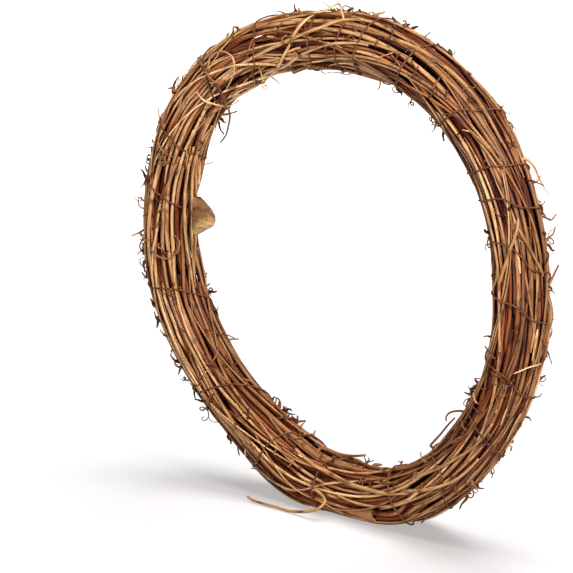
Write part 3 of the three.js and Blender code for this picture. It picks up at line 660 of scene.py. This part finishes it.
def bark_chip():
    """A loose chip of outer bark: dry, matt and tan on its torn face.

    Its fibres are drawn coarser, about 0.7 mm thick and 8 mm long: real ones are too fine to show."""
    material, tree = new_material("loose_bark_chip")
    place = add(tree, "TexCoord", out="Object")
    drawn = add(tree, "Mapping", {"Scale": (120, 500, 1400)}, {"Vector": place})
    fibres = add(tree, "TexNoise", {"Scale": 1.0, "Detail": 4}, {"Vector": drawn})
    stops = [(0.3, "#54331A"), (0.5, "#7C5029"), (0.7, "#93683A")]
    colour = add(tree, "ValToRGB", links={"Fac": fibres}, stops=stops)
    put_together(tree, {"Roughness": 0.8}, {"Base Color": colour}, fibres, 0.5, 0.1)
    return material


# Thick stems, one piece for each vine of the frame, with what grows from it


# Ring angle and section angle at which some free shoots grow, and their tone
FREE_TONES = [
    (265, 92, 0.75), (135, 72, 0.5), (141, 98, 0.9), (186, 64, 0.3), (139, 168, -0.1), (302, 166, 0.6),
    (325, 148, -0.1), (336, 132, 0.4), (33, -28, 0.8), (19, -26, 0.0), (13, -26, 0.0), (4, -26, -0.1),
    (86, 22, 0.6), (87, -2, 0.3), (94, 172, 0.9), (258, 172, 0.5), (180, 24, 0.2),
]
SHOOT_ROOT = 13  # millimetres from the bundle's middle
TONE_REACH = 8  # millimetres


def free_tone(root, own):
    """The tone of a free shoot: the listed one if it grows there, or its vine's own with some spread."""
    for angle, section, tone in FREE_TONES:
        listed = ring_line(np.array([angle]), np.radians([section]), SHOOT_ROOT)[0]
        if np.linalg.norm(root - listed) < TONE_REACH:
            return tone
    return own + chance.uniform(-0.35, 0.35)


stem_items = []
vine_strands = {}
for name, (rows, growth) in vines.items():
    tone = chance.uniform(0.25, 0.85)
    stem = stem_strand(rows, tone)
    parts = [stem]
    for middles, radii in growth:
        root = stem["points"][np.linalg.norm(stem["points"] - middles[-1], axis=1).argmin()]
        points, radii = redrawn(np.vstack([middles, root]), np.append(radii, radii[-1]), 0.5)
        parts.append(strand(points, radii, free_tone(points[-1], tone)))
    stem_items.append(stem)
    vine_strands[name] = parts


# Thin stems


def settle(thin, rounds):
    """Moves thin stems apart from each other and from the thick ones, and keeps them in the bundle."""
    limit = bundle_size + THIN_SPREAD
    down = -np.sin(np.radians(grid))
    for turn in range(rounds):
        radius, y, size = thin[:, 0], thin[:, 1], thin[:, 2]
        smoothing = SMOOTHING * max(LEAST_SMOOTHING, 1 - SMOOTHING_FALL * turn / rounds)
        for values in (radius, y):
            even = (np.roll(values, 1, 1) + np.roll(values, -1, 1)) / 2
            values += smoothing * (even - values)
        every = np.concatenate([held, thin])
        out = radius[:, None] - every[None, :, 0]
        back = y[:, None] - every[None, :, 1]
        apart = np.maximum(np.hypot(out, back), 0.05)
        lack = size[:, None] + every[None, :, 2] + THIN_GAP - apart
        lack[np.isnan(lack)] = 0
        lack[np.arange(len(thin)), len(held) + np.arange(len(thin))] = 0
        lack = np.maximum(lack, 0)
        lack[:, len(held) :] *= 0.5  # two thin stems each move half of the way
        radius += np.nansum(np.nan_to_num(lack * out / apart), axis=1) * PUSH
        y += np.nansum(np.nan_to_num(lack * back / apart), axis=1) * PUSH
        away = np.hypot(radius - middle_radius, y) + 1e-9
        pull = np.minimum(1, (limit - size) / away)
        radius[:] = middle_radius + (radius - middle_radius) * pull
        y[:] = y * pull
        floor_radius = (RING_CENTRE[2] - size) / np.maximum(down, 0.2)
        radius[:] = np.where(down > STEEP, np.minimum(radius, floor_radius), radius)


thin = np.zeros((THIN_COUNT, 3, len(grid)))
for row in thin:
    section = chance.uniform(0, 2 * math.pi)
    depth = chance.uniform(*THIN_DEPTH) * bundle_size
    swing = sum(
        chance.uniform(*THIN_SWING) / n * np.sin(np.radians(n * grid) + chance.uniform(0, 6.3))
        for n in (1, 2, 3, 4)
    )
    row[0] = middle_radius + depth * np.cos(section + swing)
    row[1] = -depth * np.sin(section + swing)
    row[2] = chance.uniform(*THIN_RADIUS)
settle(thin, THIN_ROUNDS)
for _ in range(SMOOTHING_ROUNDS):
    thin[:, :2] = (np.roll(thin[:, :2], 1, 2) + 2 * thin[:, :2] + np.roll(thin[:, :2], -1, 2)) / 4

thin_strands = {slot: [] for slot in BARKS}
thin_slots = ["vine_bark_light", "vine_bark_brown", "vine_bark_brown", "vine_bark_dark"]
for row in thin:
    start = chance.uniform(0, 360)
    angles = np.arange(start, start + chance.uniform(*THIN_ARC), GRID_STEP)
    rows = np.stack([angles, *[round_ring(values, angles) for values in row]], 1)
    item = stem_strand(rows, chance.uniform(*THIN_TONE), THIN_WOBBLE, THIN_STEP)
    item["radii"] = tapered(item["radii"], *THIN_TAPER)
    thin_strands[chance.choice(thin_slots)].append(item)
    stem_items.append(item)


def drawn_on_grid(item):
    """Radius, y and size of a finished strand at the grid's ring angles, empty where it doesn't reach."""
    angle, radius, y = ring_place(item["points"])
    angle = unwound(angle)
    values = np.array([radius, y, item["radii"]])
    if angle[-1] < angle[0]:
        angle, values = angle[::-1], values[:, ::-1]
    fine = grid_from(angle[0])
    rows = np.array([np.interp(fine, angle, row) for row in values])
    rows[:, fine > angle[-1]] = np.nan
    return rows


FACING = np.arange(HULL_DIRECTIONS) / HULL_DIRECTIONS * 2 * math.pi


def support_of(stems):
    """How far stems reach from the bundle's middle towards each direction, for each ring angle."""
    out, back = (stems[:, 0] - middle_radius)[..., None], stems[:, 1][..., None]
    return np.nanmax(out * np.cos(FACING) - back * np.sin(FACING) + stems[:, 2][..., None], axis=0)


def tight_outline(support):
    """How far out a thread pulled tight round the stems lies, for each ring angle and direction."""
    toward = np.cos(FACING[:, None] - FACING)
    reach = np.where(toward > LEAST_FACING, support[:, None] / np.maximum(toward, LEAST_FACING), np.inf)
    return reach.min(axis=2)


def resting_reach(stems, size):
    """How far out a stem of a size lies that rests on others, for each ring angle and direction."""
    out, back = (stems[:, 0] - middle_radius)[..., None], stems[:, 1][..., None]
    ahead = out * np.cos(FACING) - back * np.sin(FACING)
    beside = out * np.sin(FACING) + back * np.cos(FACING)
    room = (stems[:, 2][..., None] + size) ** 2 - beside**2
    rest = np.where(room > 0, ahead + np.sqrt(np.maximum(room, 0)), 0)
    return np.nanmax(np.nan_to_num(rest), axis=0)


def looked_up(table, angle, direction):
    """A table's values at any ring angles and directions, drawn evenly between its places."""
    row = np.asarray(angle) / GRID_STEP
    column = np.asarray(direction) / (2 * math.pi) * HULL_DIRECTIONS
    n, f = np.floor(row).astype(int), np.floor(column).astype(int)
    u, v = row - n, column - f
    n, f, n_next, f_next = n % len(grid), f % HULL_DIRECTIONS, (n + 1) % len(grid), (f + 1) % HULL_DIRECTIONS
    here = (1 - v) * table[n, f] + v * table[n, f_next]
    return (1 - u) * here + u * ((1 - v) * table[n_next, f] + v * table[n_next, f_next])


def eased(values, rounds=1):
    """Values with each moved to the middle of its neighbours, the ends kept."""
    for _ in range(rounds):
        inner = (values[:-2] + 2 * values[1:-1] + values[2:]) / 4
        values = np.concatenate([values[:1], inner, values[-1:]])
    return values


every_stem = np.array([drawn_on_grid(item) for item in stem_items])
surface = tight_outline(support_of(every_stem))
rests = [resting_reach(every_stem, size) for size in GROOVE_SIZES]


def groove_space(rest, size):
    """How far a stem of a size lies in between the others, for each ring angle and direction.

    Places where it would come too near to the floor get a very low value."""
    turn = np.radians(grid)[:, None]
    height = RING_CENTRE[2] + (middle_radius[:, None] + rest * np.cos(FACING)) * np.sin(turn)
    return np.where(height > size + FLOOR_GAP, surface - rest - size, -TAKEN)


def groove(space, most):
    """The deepest groove of the bundle's surface, followed both ways along the ring."""
    n, f = np.unravel_index(space.argmax(), space.shape)
    path = [(n, f)]
    for step in (1, -1):
        at, to = n, f
        for _ in range(most // 2):
            at += step
            ways = [(space[at % len(grid), (to + turn) % HULL_DIRECTIONS], to + turn) for turn in (-1, 0, 1)]
            best, to = max((room - GROOVE_BEND * abs(way - to), way) for room, way in ways)
            if best < GROOVE_LEAST:
                break
            path.insert(0 if step < 0 else len(path), (at, to))
    return np.array(path)


taken = np.zeros((len(grid), HULL_DIRECTIONS))
laid = 0
while laid < GROOVE_COUNT:
    spaces = [groove_space(rest, size) - taken for rest, size in zip(rests, GROOVE_SIZES)]
    fits = [k for k, space in enumerate(spaces) if space.max() > GROOVE_ROOM]
    if not fits:
        break
    kind = fits[0]
    path = groove(spaces[kind], chance.integers(*GROOVE_STEPS))
    n, f = path.T % [[len(grid)], [HULL_DIRECTIONS]]
    if len(path) < GROOVE_STEPS[0]:
        taken[n, f] += TAKEN
        continue
    size = GROOVE_SIZES[kind] * chance.uniform(0.88, 1.0)
    angles, directions = path[:, 0] * float(GRID_STEP), eased(path[:, 1] / HULL_DIRECTIONS * 2 * math.pi, 3)
    reach = np.maximum(looked_up(rests[kind], angles, directions), 0)
    reach = eased(np.maximum(reach, eased(reach, 2)), 2)
    steps = np.arange(len(path))
    reach -= END_DIP * size * np.maximum(0, 1 - np.minimum(steps, steps[::-1]) / 2)
    points, radii = redrawn(ring_line(angles, directions, reach), np.full(len(path), size), 2 * THIN_STEP)
    radii = tapered(radii, *GROOVE_TAPER)
    item = strand(points, radii, chance.uniform(*THIN_TONE), knots=True)
    thin_strands[chance.choice(thin_slots)].append(item)
    row = drawn_on_grid(item)[None]
    every_stem = np.concatenate([every_stem, row])
    rests = [np.maximum(rest, resting_reach(row, s)) for rest, s in zip(rests, GROOVE_SIZES)]
    laid += 1
surface = tight_outline(support_of(every_stem))


def laid_stem(angles, sections, heights, size, tone):
    """A stem laid over the bundle along ring places, its middle at heights over the other stems."""
    direction = np.radians(sections)
    reach = eased(looked_up(surface, angles, direction), LAID_EASING) + heights
    radii = tapered(np.full(len(angles), size), *LAID_TAPER)
    points, radii = redrawn(ring_line(angles, direction, reach), radii, 2 * THIN_STEP)
    return strand(points, radii, tone, knots=True)


# Stems that cross the bundle at a slant, from its outside to the hole or the other way
for _ in range(CROSSING_COUNT):
    start, arc = chance.uniform(0, 360), chance.uniform(*CROSSING_ARC)
    size = chance.uniform(*CROSSING_RADIUS)
    one = chance.uniform(*CROSSING_START)
    two = one + chance.uniform(*CROSSING_TURN)
    if chance.random() < 0.5:
        one, two = two, one
    if chance.random() < AT_THE_BACK:
        one, two = one + BACK_TURN, two + BACK_TURN
    angles = np.arange(start, start + arc, GRID_STEP)
    share = np.linspace(0, 1, len(angles))
    heights = np.interp(share, *CROSSING_HEIGHTS) * size
    item = laid_stem(angles, one + (two - one) * share, heights, size, chance.uniform(*CROSSING_TONE))
    if item["points"][:, 2].min() < size + 0.1:
        continue
    thin_strands[chance.choice(thin_slots)].append(item)
    every_stem = np.concatenate([every_stem, drawn_on_grid(item)[None]])
    surface = tight_outline(support_of(every_stem))

# Stems that lie over the others where they do on the real wreath: slot, size, tone and places, each a
# ring angle, a section angle and a height over the others
LAID_OVER = [
    ("light", 0.95, 0.55, [(117, 156, -1), (112, 138, 0.9), (101.5, 84, 1.2), (98, 36, 0.9), (97, 16, -1)]),
    ("light", 1.0, 0.5, [(122, 106, -1), (108, 88, 1.1), (95, 62, 1.1), (85, 30, 1.0), (78, 14, -1)]),
    ("brown", 0.95, 0.8, [(119, 150, -1), (106, 124, 1.0), (94, 96, 1.2), (83, 78, 1.0), (76, 70, -1)]),
    ("light", 1.1, 0.5, [(74, 40, -1), (61, 24, 1.2), (52, 16, 1.2), (44, 14, 1.0), (36, 12, -1)]),
    ("light", 0.9, 0.5, [(20, 40, -0.8), (18.5, 44, 0.8), (12.5, 70, 1.6), (5, 94, 1.0), (3, 100, -1)]),
    ("brown", 0.9, 0.5, [(19, 48, -0.8), (17, 42, 0.8), (12, 24, 1.2), (7.5, 4, 0.9), (6, -6, -1)]),
    ("light", 0.45, 0.9, [(344, 50, -1), (344.4, 46, 0.6), (346, 20, 1.2), (346.4, -20, 1.2),
                          (346.4, -37, 1.6)]),
    ("dark", 1.3, 0.9, [(256, 150, -1), (262, 142, 1.0), (271, 132, 1.3), (285, 118, 1.2), (298, 90, -1)]),
    ("light", 1.0, 0.5, [(296, 100, -1), (300, 88, 1.0), (306, 70, 1.2), (312, 52, 1.1), (320, 40, -1)]),
    ("brown", 1.0, 0.7, [(300, 112, -1), (306, 102, 0.9), (314, 84, 1.1), (322, 66, 0.9), (330, 56, -1)]),
    # Over the root of the leaf
    ("light", 0.85, 0.35, [(156, 170, -1), (168, 171, 2.8), (178, 174, 5.4), (187, 174, 3.8),
                          (200, 172, -1)]),
    ("brown", 0.95, 0.75, [(158, 160, -1), (170, 161, 1.6), (179, 164, 2.4), (188, 166, 1.8),
                          (203, 166, -1)]),
    ("brown", 0.8, 0.5, [(162, 178, -1), (171, 182, 3.4), (178, 183, 6.6), (185, 182, 4.8), (196, 178, -1)]),
    # A dark shoot across the bundle, that ends in the hook below it
    ("dark", 1.0, -0.1, [(137, 32, -1), (134, 60, 1.0), (133, 92, 1.2), (133.5, 118, 1.2),
                         (136, 142, 1.2), (141, 168, 1.0), (146, 184, -0.6)]),
    # Stems that bow away from the hole's edge, and one on the outside
    ("brown", 1.1, 0.7, [(27, 176, -1), (22, 190, 1.8), (14, 206, 2.6), (5, 212, 2.4), (-3, 204, 1.2),
                         (-10, 190, -1)]),
    ("light", 0.9, 0.4, [(62, 178, -1), (57, 186, 1.8), (50, 194, 2.6), (42, 198, 1.6), (36, 194, -1)]),
    ("brown", 0.9, 0.6, [(2, -24, -1), (-3, -20, 1.6), (-8, -18, 2.0), (-14, -12, 1.0), (-19, -4, -1)]),
    # A short thick stem on the outside
    ("brown", 1.9, 0.55, [(2.5, -24, -1), (-0.5, -24, 0.3), (-3.5, -22, 0.9), (-6, -20, 0.5),
                         (-13, -16, -0.6)]),
    ("light", 1.0, 0.5, [(88, 176, -1), (82, 186, 2.6), (74, 192, 3.0), (66, 190, 1.6), (60, 184, -1)]),
]
SECTION_SHARE = 0.27  # a section degree counts as this share of a ring degree when points are spaced
for kind, size, tone, places in LAID_OVER:
    places = np.array(places, float)
    along = lengths_along(places * [1, SECTION_SHARE, 1])
    fine = np.arange(0, along[-1], GRID_STEP / 2)
    angles, sections, heights = smooth_line(along, places, fine).T
    thin_strands["vine_bark_" + kind].append(laid_stem(angles, sections, heights * size, size, tone))

hull = support_of(every_stem)
surface = tight_outline(hull)

for name, parts in vine_strands.items():
    slot = slot_of[name]
    piece = make_strands(name.replace("vine", "vine_stem"), parts, STEM_SIDES, BARKS[slot])
    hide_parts(name)
for slot, items in thin_strands.items():
    for part, share in (("a", items[::2]), ("b", items[1::2])):
        name = slot.replace("vine_bark", "thin_stems") + "_" + part
        make_strands(name, share, THIN_SIDES, BARKS[slot])


# Growth: stubs, tendrils and loose strips of bark


def surface_place(angle, direction, height):
    """A point at a height over the bundle, in millimetres."""
    angle, direction = np.array([angle]), np.array([direction])
    return ring_line(angle, direction, looked_up(surface, angle, direction) + height)[0]


def anywhere():
    """A random ring angle and section angle."""
    return chance.uniform(0, 360), chance.uniform(0, 360)


def close_to(angle, section, along=2, around=9):
    """A random ring angle and section angle close to those given."""
    return angle + chance.normal(0, along), section + chance.normal(0, around)


def stub(angle, section, length=None, lift=0.7):
    """A short broken side shoot that leans along the ring, with a knob at its root."""
    direction = math.radians(section)
    lean = chance.choice([-1, 1])
    length, bend = length or chance.uniform(*STUB_LENGTH), chance.uniform(*STUB_LEAN)
    points = [
        surface_place(angle, direction, -ROOT_DEPTH),
        surface_place(angle + lean * 0.3 * bend, direction, 0.15 * length),
        surface_place(angle + lean * bend, direction + chance.uniform(-0.3, 0.3), lift * length),
    ]
    points.append(points[-1] + (points[-1] - points[-2]) * 0.35 + chance.normal(0, 0.6, 3))
    size = chance.uniform(*STUB_RADIUS) * (1 if lift > 0.5 else 0.7)
    points, radii = redrawn(np.array(points), np.array(STUB_SIZES) * size, GROWTH_STEP)
    knob = 1 + chance.uniform(0, 0.5) * np.exp(-((np.linspace(0, 1, len(radii)) - 0.93) ** 2) / 0.004)
    return strand(points, radii * knob, chance.uniform(-0.4, 0.5))


def tendril(angle, section):
    """A dry tendril: a thin stalk with loose curls that tighten towards its tip."""
    direction = math.radians(section)
    turns, size = chance.uniform(*TENDRIL_TURNS), chance.uniform(*TENDRIL_CURL)
    base, top = surface_place(angle, direction, -2), surface_place(angle, direction, 3)
    out = (top - base) / np.linalg.norm(top - base)
    along = np.cross(out, [0, 1, 0])
    along = along / (np.linalg.norm(along) + 1e-6)
    side = np.cross(out, along)
    stalk = chance.uniform(*TENDRIL_STALK)
    spread, drift, wind = chance.uniform(-1, 1), chance.uniform(-1, 1), chance.choice([-1, 1])
    points = [base, base + out * 2.1]
    for t in np.linspace(0, 1, int(9 * turns) + 5):
        phase = 2 * math.pi * turns * t
        curl = size * (1 - 0.6 * t)
        points.append(
            base
            + out * (2.5 + stalk * t + curl * math.sin(phase) * 0.75)
            + along * (wind * curl * (1 - math.cos(phase)) + 6 * spread * t)
            + side * (curl * math.sin(0.7 * phase) * 0.5 + 2.5 * drift * t)
        )
    sizes = np.linspace(1.5, 0.6, len(points)) * chance.uniform(*TENDRIL_RADIUS)
    points, radii = redrawn(np.array(points), sizes, GROWTH_STEP)
    return strand(points, radii, chance.uniform(-0.4, 0.4))


def shred():
    """A strip of outer bark that has come loose: it lies along the stems and lifts at its end."""
    angle, section = anywhere()
    direction = math.radians(section)
    length, size = chance.uniform(*SHRED_LENGTH), chance.uniform(*SHRED_RADIUS)
    lifts = chance.uniform(*SHRED_LIFT)
    turn = chance.choice([-1, 1])
    points = [
        surface_place(angle + turn * length * t, direction + 0.1 * t, -0.3 + lifts * t**3)
        for t in np.linspace(0, 1, len(SHRED_SIZES))
    ]
    out = surface_place(angle, direction, 5) - surface_place(angle, direction, 0)
    points, radii = redrawn(np.array(points), size * np.array(SHRED_SIZES), 0.7)
    return strand(points, radii, chance.uniform(0.1, 0.9), flat=out, thin=0.16)


# Where dry tendrils and broken shoots sit together in a tangle: ring angle and section angle
TANGLES = [
    (92, -10), (96, -18), (88, -20), (164, 38), (168, 42), (172, 38), (186, 40), (189, 44), (193, 46),
    (177, 40), (237, 218), (241, 217), (246, 216), (251, 214), (277, 194), (308, -12), (311, -14),
    (324, -26), (338, -34), (348, -38), (15, -45), (22, -45), (3, -44), (50, 139), (66, 144), (17, 135),
    (329, 148), (333, 147), (216, 44), (221, 43), (203, 44), (148, 30), (120, 6), (45, -42), (62, -38),
    (75, -30), (130, 250), (200, 270), (290, 262), (20, 240), (340, 60), (160, 110),
]

# Where dark twigs lie across the bundle's face: ring angle and section angle
FACE_TWIGS = [
    (105, 68), (100, 60), (120, 96), (130, 136), (138, 20), (164, 106), (140, 50), (69, 44), (75, 52),
    (48, 90), (60, 68), (50, 40), (34, -2), (191, 104), (220, 126), (222, 164), (222, 88), (200, 118),
    (253, 174), (301, 82), (285, 118), (311, 70), (338, 84), (300, 86), (311, 24), (326, 98), (314, 82),
    (98, 92), (88, 82), (55, 70), (38, 68), (22, 62), (15, 32), (4, 52), (354, 80), (2, 20), (175, 96),
    (181, 118), (188, 140), (208, 114), (229, 106), (238, 116), (244, 104), (275, 94), (266, 138),
    (292, 130), (325, 56), (337, 42), (87, 28), (66, 28), (169, 120), (162, 156), (144, 138), (166, 76),
    (83, 48),
]


def above_floor(item):
    """Whether a strand keeps clear of the floor."""
    return item["points"][:, 2].min() > item["radii"].max() + 0.2


stubs = [stub(*anywhere()) for _ in range(STUB_COUNT)]
tendrils = [tendril(*anywhere()) for _ in range(TENDRIL_COUNT)]
for place in TANGLES:
    for _ in range(chance.integers(1, 5)):
        stubs.append(stub(*close_to(*place), chance.uniform(1, 5)))
    for _ in range(chance.integers(0, 3)):
        tendrils.append(tendril(*close_to(*place)))
for place in FACE_TWIGS:
    for _ in range(chance.integers(1, 4)):
        stubs.append(stub(*close_to(*place, 2.5, 10), chance.uniform(1.5, 4), 0.3))
    if chance.random() < 0.3:
        tendrils.append(tendril(*close_to(*place)))
shreds = [shred() for _ in range(SHRED_COUNT)]
# Each kind's piece, strands, sides, slot, and how much of the bark's relief it has
for name, items, sides, slot, rough in (
    ("broken_side_shoots", stubs, 8, "vine_bark_dark", 1.0),
    ("dry_tendrils", tendrils, 6, "vine_bark_brown", 0.4),
    ("bark_strips", shreds, 6, "vine_bark_light", 0.6),
):
    make_strands(name, [item for item in items if above_floor(item)], sides, BARKS[slot], rough)


# Binding wire


def wire_strand():
    """The wire of the frame, drawn finer and pulled tight over all the stems."""
    solid = merged("binding_wire")
    tips = tube_tips(solid, set())
    middles = tube_line(tips[0], set())[0]
    solid.free()
    angle, radius, y = ring_place(middles)
    angle = unwound(angle)
    direction = np.unwrap(np.arctan2(-y, radius - round_ring(middle_radius, angle)))
    steps = np.arange(len(angle), dtype=float)
    fine = np.linspace(0, steps[-1], WIRE_FINER * len(steps))
    angle, direction = smooth_line(steps, np.stack([angle, direction], 1), fine).T
    reach = np.zeros(len(fine))
    for n, (a, d) in enumerate(zip(angle, direction)):
        near = int(a / GRID_STEP) % len(grid)
        around = np.maximum(hull[near], hull[(near + 1) % len(grid)])
        toward = np.cos(d - FACING)
        ahead = toward > LEAST_FACING
        reach[n] = ((around[ahead] + WIRE_GAP + WIRE_RADIUS) / toward[ahead]).min()
    reach = np.convolve(np.pad(reach, 2, mode="edge"), np.ones(5) / 5, mode="valid")
    points = ring_line(angle, direction, reach)
    points[:, 2] = np.maximum(points[:, 2], WIRE_RADIUS + WIRE_FLOOR_GAP)
    return strand(points, np.full(len(points), WIRE_RADIUS), 0.5)


wire = make_strands("wound_wire", [wire_strand()], WIRE_SIDES, rusty_wire(), 0.0)
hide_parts("binding_wire")


# Leaf and flake of bark

LEAF_ROWS, LEAF_COLUMNS = 7, 5  # the frame's leaf has this many places each way
LEAF_FINE = 40
# Millimetres that its round rim stands out beyond the frame's flat facets, from its lower end up
LEAF_BULGE = np.array([[0], [-0.6], [-2.0], [0.9], [1.9], [1.7], [0.4]])
LEAF_CREST = 4.2  # millimetres that its upper end rises over the frame's, by its root


def sheet_piece(name, sheet, thickness, material, node):
    """A thin piece in place of a node: a sheet gets its thickness, its material and its body."""
    bmesh.ops.solidify(sheet, geom=sheet.faces, thickness=thickness * MM)
    bmesh.ops.recalc_face_normals(sheet, faces=sheet.faces)
    mesh = bpy.data.meshes.new(name)
    sheet.to_mesh(mesh)
    sheet.free()
    piece = in_scene(name, mesh)
    finish_piece(piece, material)
    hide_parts(node)


def leaf_grid():
    """The middle of the frame's leaf as rows of places, from its lower end up, each from root to rim."""
    solid = merged("dried_leaf")
    points = np.array([v.co for v in solid.verts])
    solid.free()
    angle, radius, _ = ring_place(points)
    rows = np.array_split(np.argsort(-angle), LEAF_ROWS)
    rows = [row[np.argsort(-radius[row])] for row in rows]
    return np.array([points[row].reshape(LEAF_COLUMNS, 2, 3).mean(1) for row in rows])


def make_leaf():
    """The leaf: a fine sheet laid on the frame's, with a wavy rim, veins and crumples."""
    places = leaf_grid().reshape(LEAF_ROWS, -1)
    along, across = np.linspace(0, 1, LEAF_ROWS), np.linspace(0, 1, LEAF_COLUMNS)
    sheet = bmesh.new()
    bmesh.ops.create_grid(sheet, x_segments=LEAF_FINE, y_segments=LEAF_FINE, size=0.5)
    vein, height, rim = (sheet.verts.layers.float.new(name) for name in ("vein", "height", "rim"))
    for vert in sheet.verts:
        # How far out from the root and how far up the leaf the point lies, each from 0 to 1
        a, up = vert.co.x + 0.5, vert.co.y + 0.5
        level = np.array([up])
        lengthwise = smooth_line(along, places, level).reshape(LEAF_COLUMNS, 3)
        reach = lengthwise[-1] - lengthwise[0]
        bulge = smooth_line(along, LEAF_BULGE, level)[0] * reach / np.linalg.norm(reach)
        teeth = 0.015 * math.sin(21 * up) + 0.012 * math.sin(47 * up + 1)
        x, y, z = smooth_line(across, lengthwise, np.array([a]))[0] + (bulge + reach * teeth) * a * a
        z += (LEAF_CREST - 1.4 * a) * max(0.0, (up - 0.5) / 0.5) ** 1.5
        ribs = abs(math.sin((up * 4.2 + a * 1.3 + 0.2) * math.pi))
        line = max(0.0, 1 - 7 * ribs) * (1 - 0.7 * a)
        crumple = 0.5 * math.sin(8 * up + 4 * a) + 0.3 * math.sin(15 * a - 7 * up)
        vert.co = (x * MM, (y - 0.35 * line + 0.8 * crumple * a) * MM, z * MM)
        vert[vein] = 0.6 * line
        vert[height] = 0.72 * up + 0.36 * (1 - a)
        vert[rim] = max(0.0, (a - 0.9) / 0.1) * min(1.0, max(0.0, (up - 0.3) / 0.3))
    sheet_piece("curled_leaf", sheet, 0.2, dry_leaf(), "dried_leaf")


def make_flake():
    """The flake of bark: the middle of the frame's front face, drawn finer and pressed with fibres."""
    sheet = bmesh.new()
    sheet.from_mesh(frame["nodes"]["bark_flake"].data)
    bmesh.ops.remove_doubles(sheet, verts=sheet.verts, dist=0.001 * MM)
    sheet.normal_update()
    turned_away = [face for face in sheet.faces if face.normal.dot((0, -1, 0)) < 0.35]
    bmesh.ops.delete(sheet, geom=turned_away, context="FACES")
    bmesh.ops.join_triangles(sheet, faces=sheet.faces, angle_face_threshold=1.2, angle_shape_threshold=1.2)
    bmesh.ops.subdivide_edges(sheet, edges=sheet.edges, cuts=6, use_grid_fill=True, smooth=0.6)
    for vert in sheet.verts:
        fibre = math.sin(vert.co.z / MM * 4.2) + 0.6 * math.sin(vert.co.z / MM * 9.1 + vert.co.x / MM)
        vert.co.y += MM * 0.07 * fibre
    sheet_piece("loose_bark_flake", sheet, 0.55, bark_chip(), "bark_flake")


make_leaf()
make_flake()


# Floor, light and camera

TABLE_GLOW = (0.42, 1.05)  # the table's painted glow at the wreath, and away from it
TABLE_DARKER = (0.35, 0.9)  # metres from the wreath's foot between which the painted glow grows, so the far table stays white


def glowing_table():
    """An opal acrylic table with a painted glow, weaker at its middle: white, with soft faint shadows."""
    material, tree = new_material("opal_acrylic_with_painted_glow")
    place = add(tree, "TexCoord", out="Object")
    away = add(tree, "VectorMath", links={0: place}, out="Value", operation="LENGTH")
    spans = dict(zip(SPANS, (*TABLE_DARKER, *TABLE_GLOW)))
    glow = add(tree, "MapRange", spans, {"Value": away})
    values = {"Base Color": linear("#CCCACA"), "Roughness": 0.5, "Emission Color": (1, 0.985, 0.98, 1)}
    put_together(tree, values, {"Emission Strength": glow})
    return material


def make_floor():
    """The table: one large plane."""
    shape = bmesh.new()
    bmesh.ops.create_grid(shape, x_segments=1, y_segments=1, size=30)
    mesh = bpy.data.meshes.new("floor")
    shape.to_mesh(mesh)
    shape.free()
    mesh.materials.append(glowing_table())
    floor = in_scene("floor", mesh)
    return floor


def away_from_wreath(azimuth, elevation):
    """The direction from the wreath at an azimuth, where 0 is in front of it, and an elevation."""
    turn, rise = math.radians(azimuth), math.radians(elevation)
    return np.array([math.sin(turn) * math.cos(rise), -math.cos(turn) * math.cos(rise), math.sin(rise)])


def turned_to_wreath(azimuth, elevation):
    """The rotation of a lamp or camera that stands there and looks at the wreath."""
    return math.radians(90) - math.radians(elevation), 0, math.radians(azimuth)


LAMP_DISTANCE = 1.6
# Azimuth, elevation, size in metres and power of each lamp, and whether its light is kept off the table
LAMPS = {
    "key_light": (68, 32, 0.6, 74, True),
    "fill_light": (5, 12, 0.5, 24, True),
    "top_light": (180, 78, 1.4, 44, False),
}
ROOM_LIGHT = 0.12


def make_light(floor):
    """Soft square lamps at the right, in front and above, and a faint even light from all round."""
    flagged = bpy.data.collections.new("flagged_off")
    flagged.objects.link(floor)
    flagged.collection_objects[0].light_linking.link_state = "EXCLUDE"
    for name, (azimuth, elevation, size, power, off_table) in LAMPS.items():
        light = bpy.data.lights.new(name, "AREA")
        light.shape, light.size, light.energy = "SQUARE", size, power
        lamp = in_scene(name, light)
        lamp.location = RING_CENTRE * MM + LAMP_DISTANCE * away_from_wreath(azimuth, elevation)
        lamp.rotation_euler = turned_to_wreath(azimuth, elevation)
        if off_table:
            lamp.light_linking.receiver_collection = flagged
    world = bpy.data.worlds.new("white_studio")
    bpy.context.scene.world = world
    world.use_nodes = True
    background = world.node_tree.nodes["Background"]
    background.inputs["Color"].default_value = (1, 1, 1, 1)
    background.inputs["Strength"].default_value = ROOM_LIGHT
    bpy.context.scene.view_settings.view_transform = "Standard"


# The view: seen from the right and a little above, with a long lens. Distances are in millimetres
VIEW_FROM = (42.5, 15.7)  # azimuth and elevation
VIEW_DISTANCE = 4500
VIEW_RIGHT, VIEW_UP = 32.8, 16.8  # how far the ring's centre lies from the middle of the picture
LENS, SENSOR = 499.5, 36


def make_camera():
    """The camera, at the angle from which the wreath is shown."""
    turn = math.radians(VIEW_FROM[0])
    right = np.array([math.cos(turn), math.sin(turn), 0])
    back = away_from_wreath(*VIEW_FROM)
    aim = RING_CENTRE - VIEW_RIGHT * right - VIEW_UP * np.cross(back, right)
    data = bpy.data.cameras.new("camera")
    data.lens, data.sensor_width, data.clip_end = LENS, SENSOR, 100
    camera = in_scene("camera", data)
    camera.location = (aim + VIEW_DISTANCE * back) * MM
    camera.rotation_euler = turned_to_wreath(*VIEW_FROM)
    bpy.context.scene.camera = camera


make_light(make_floor())
make_camera()
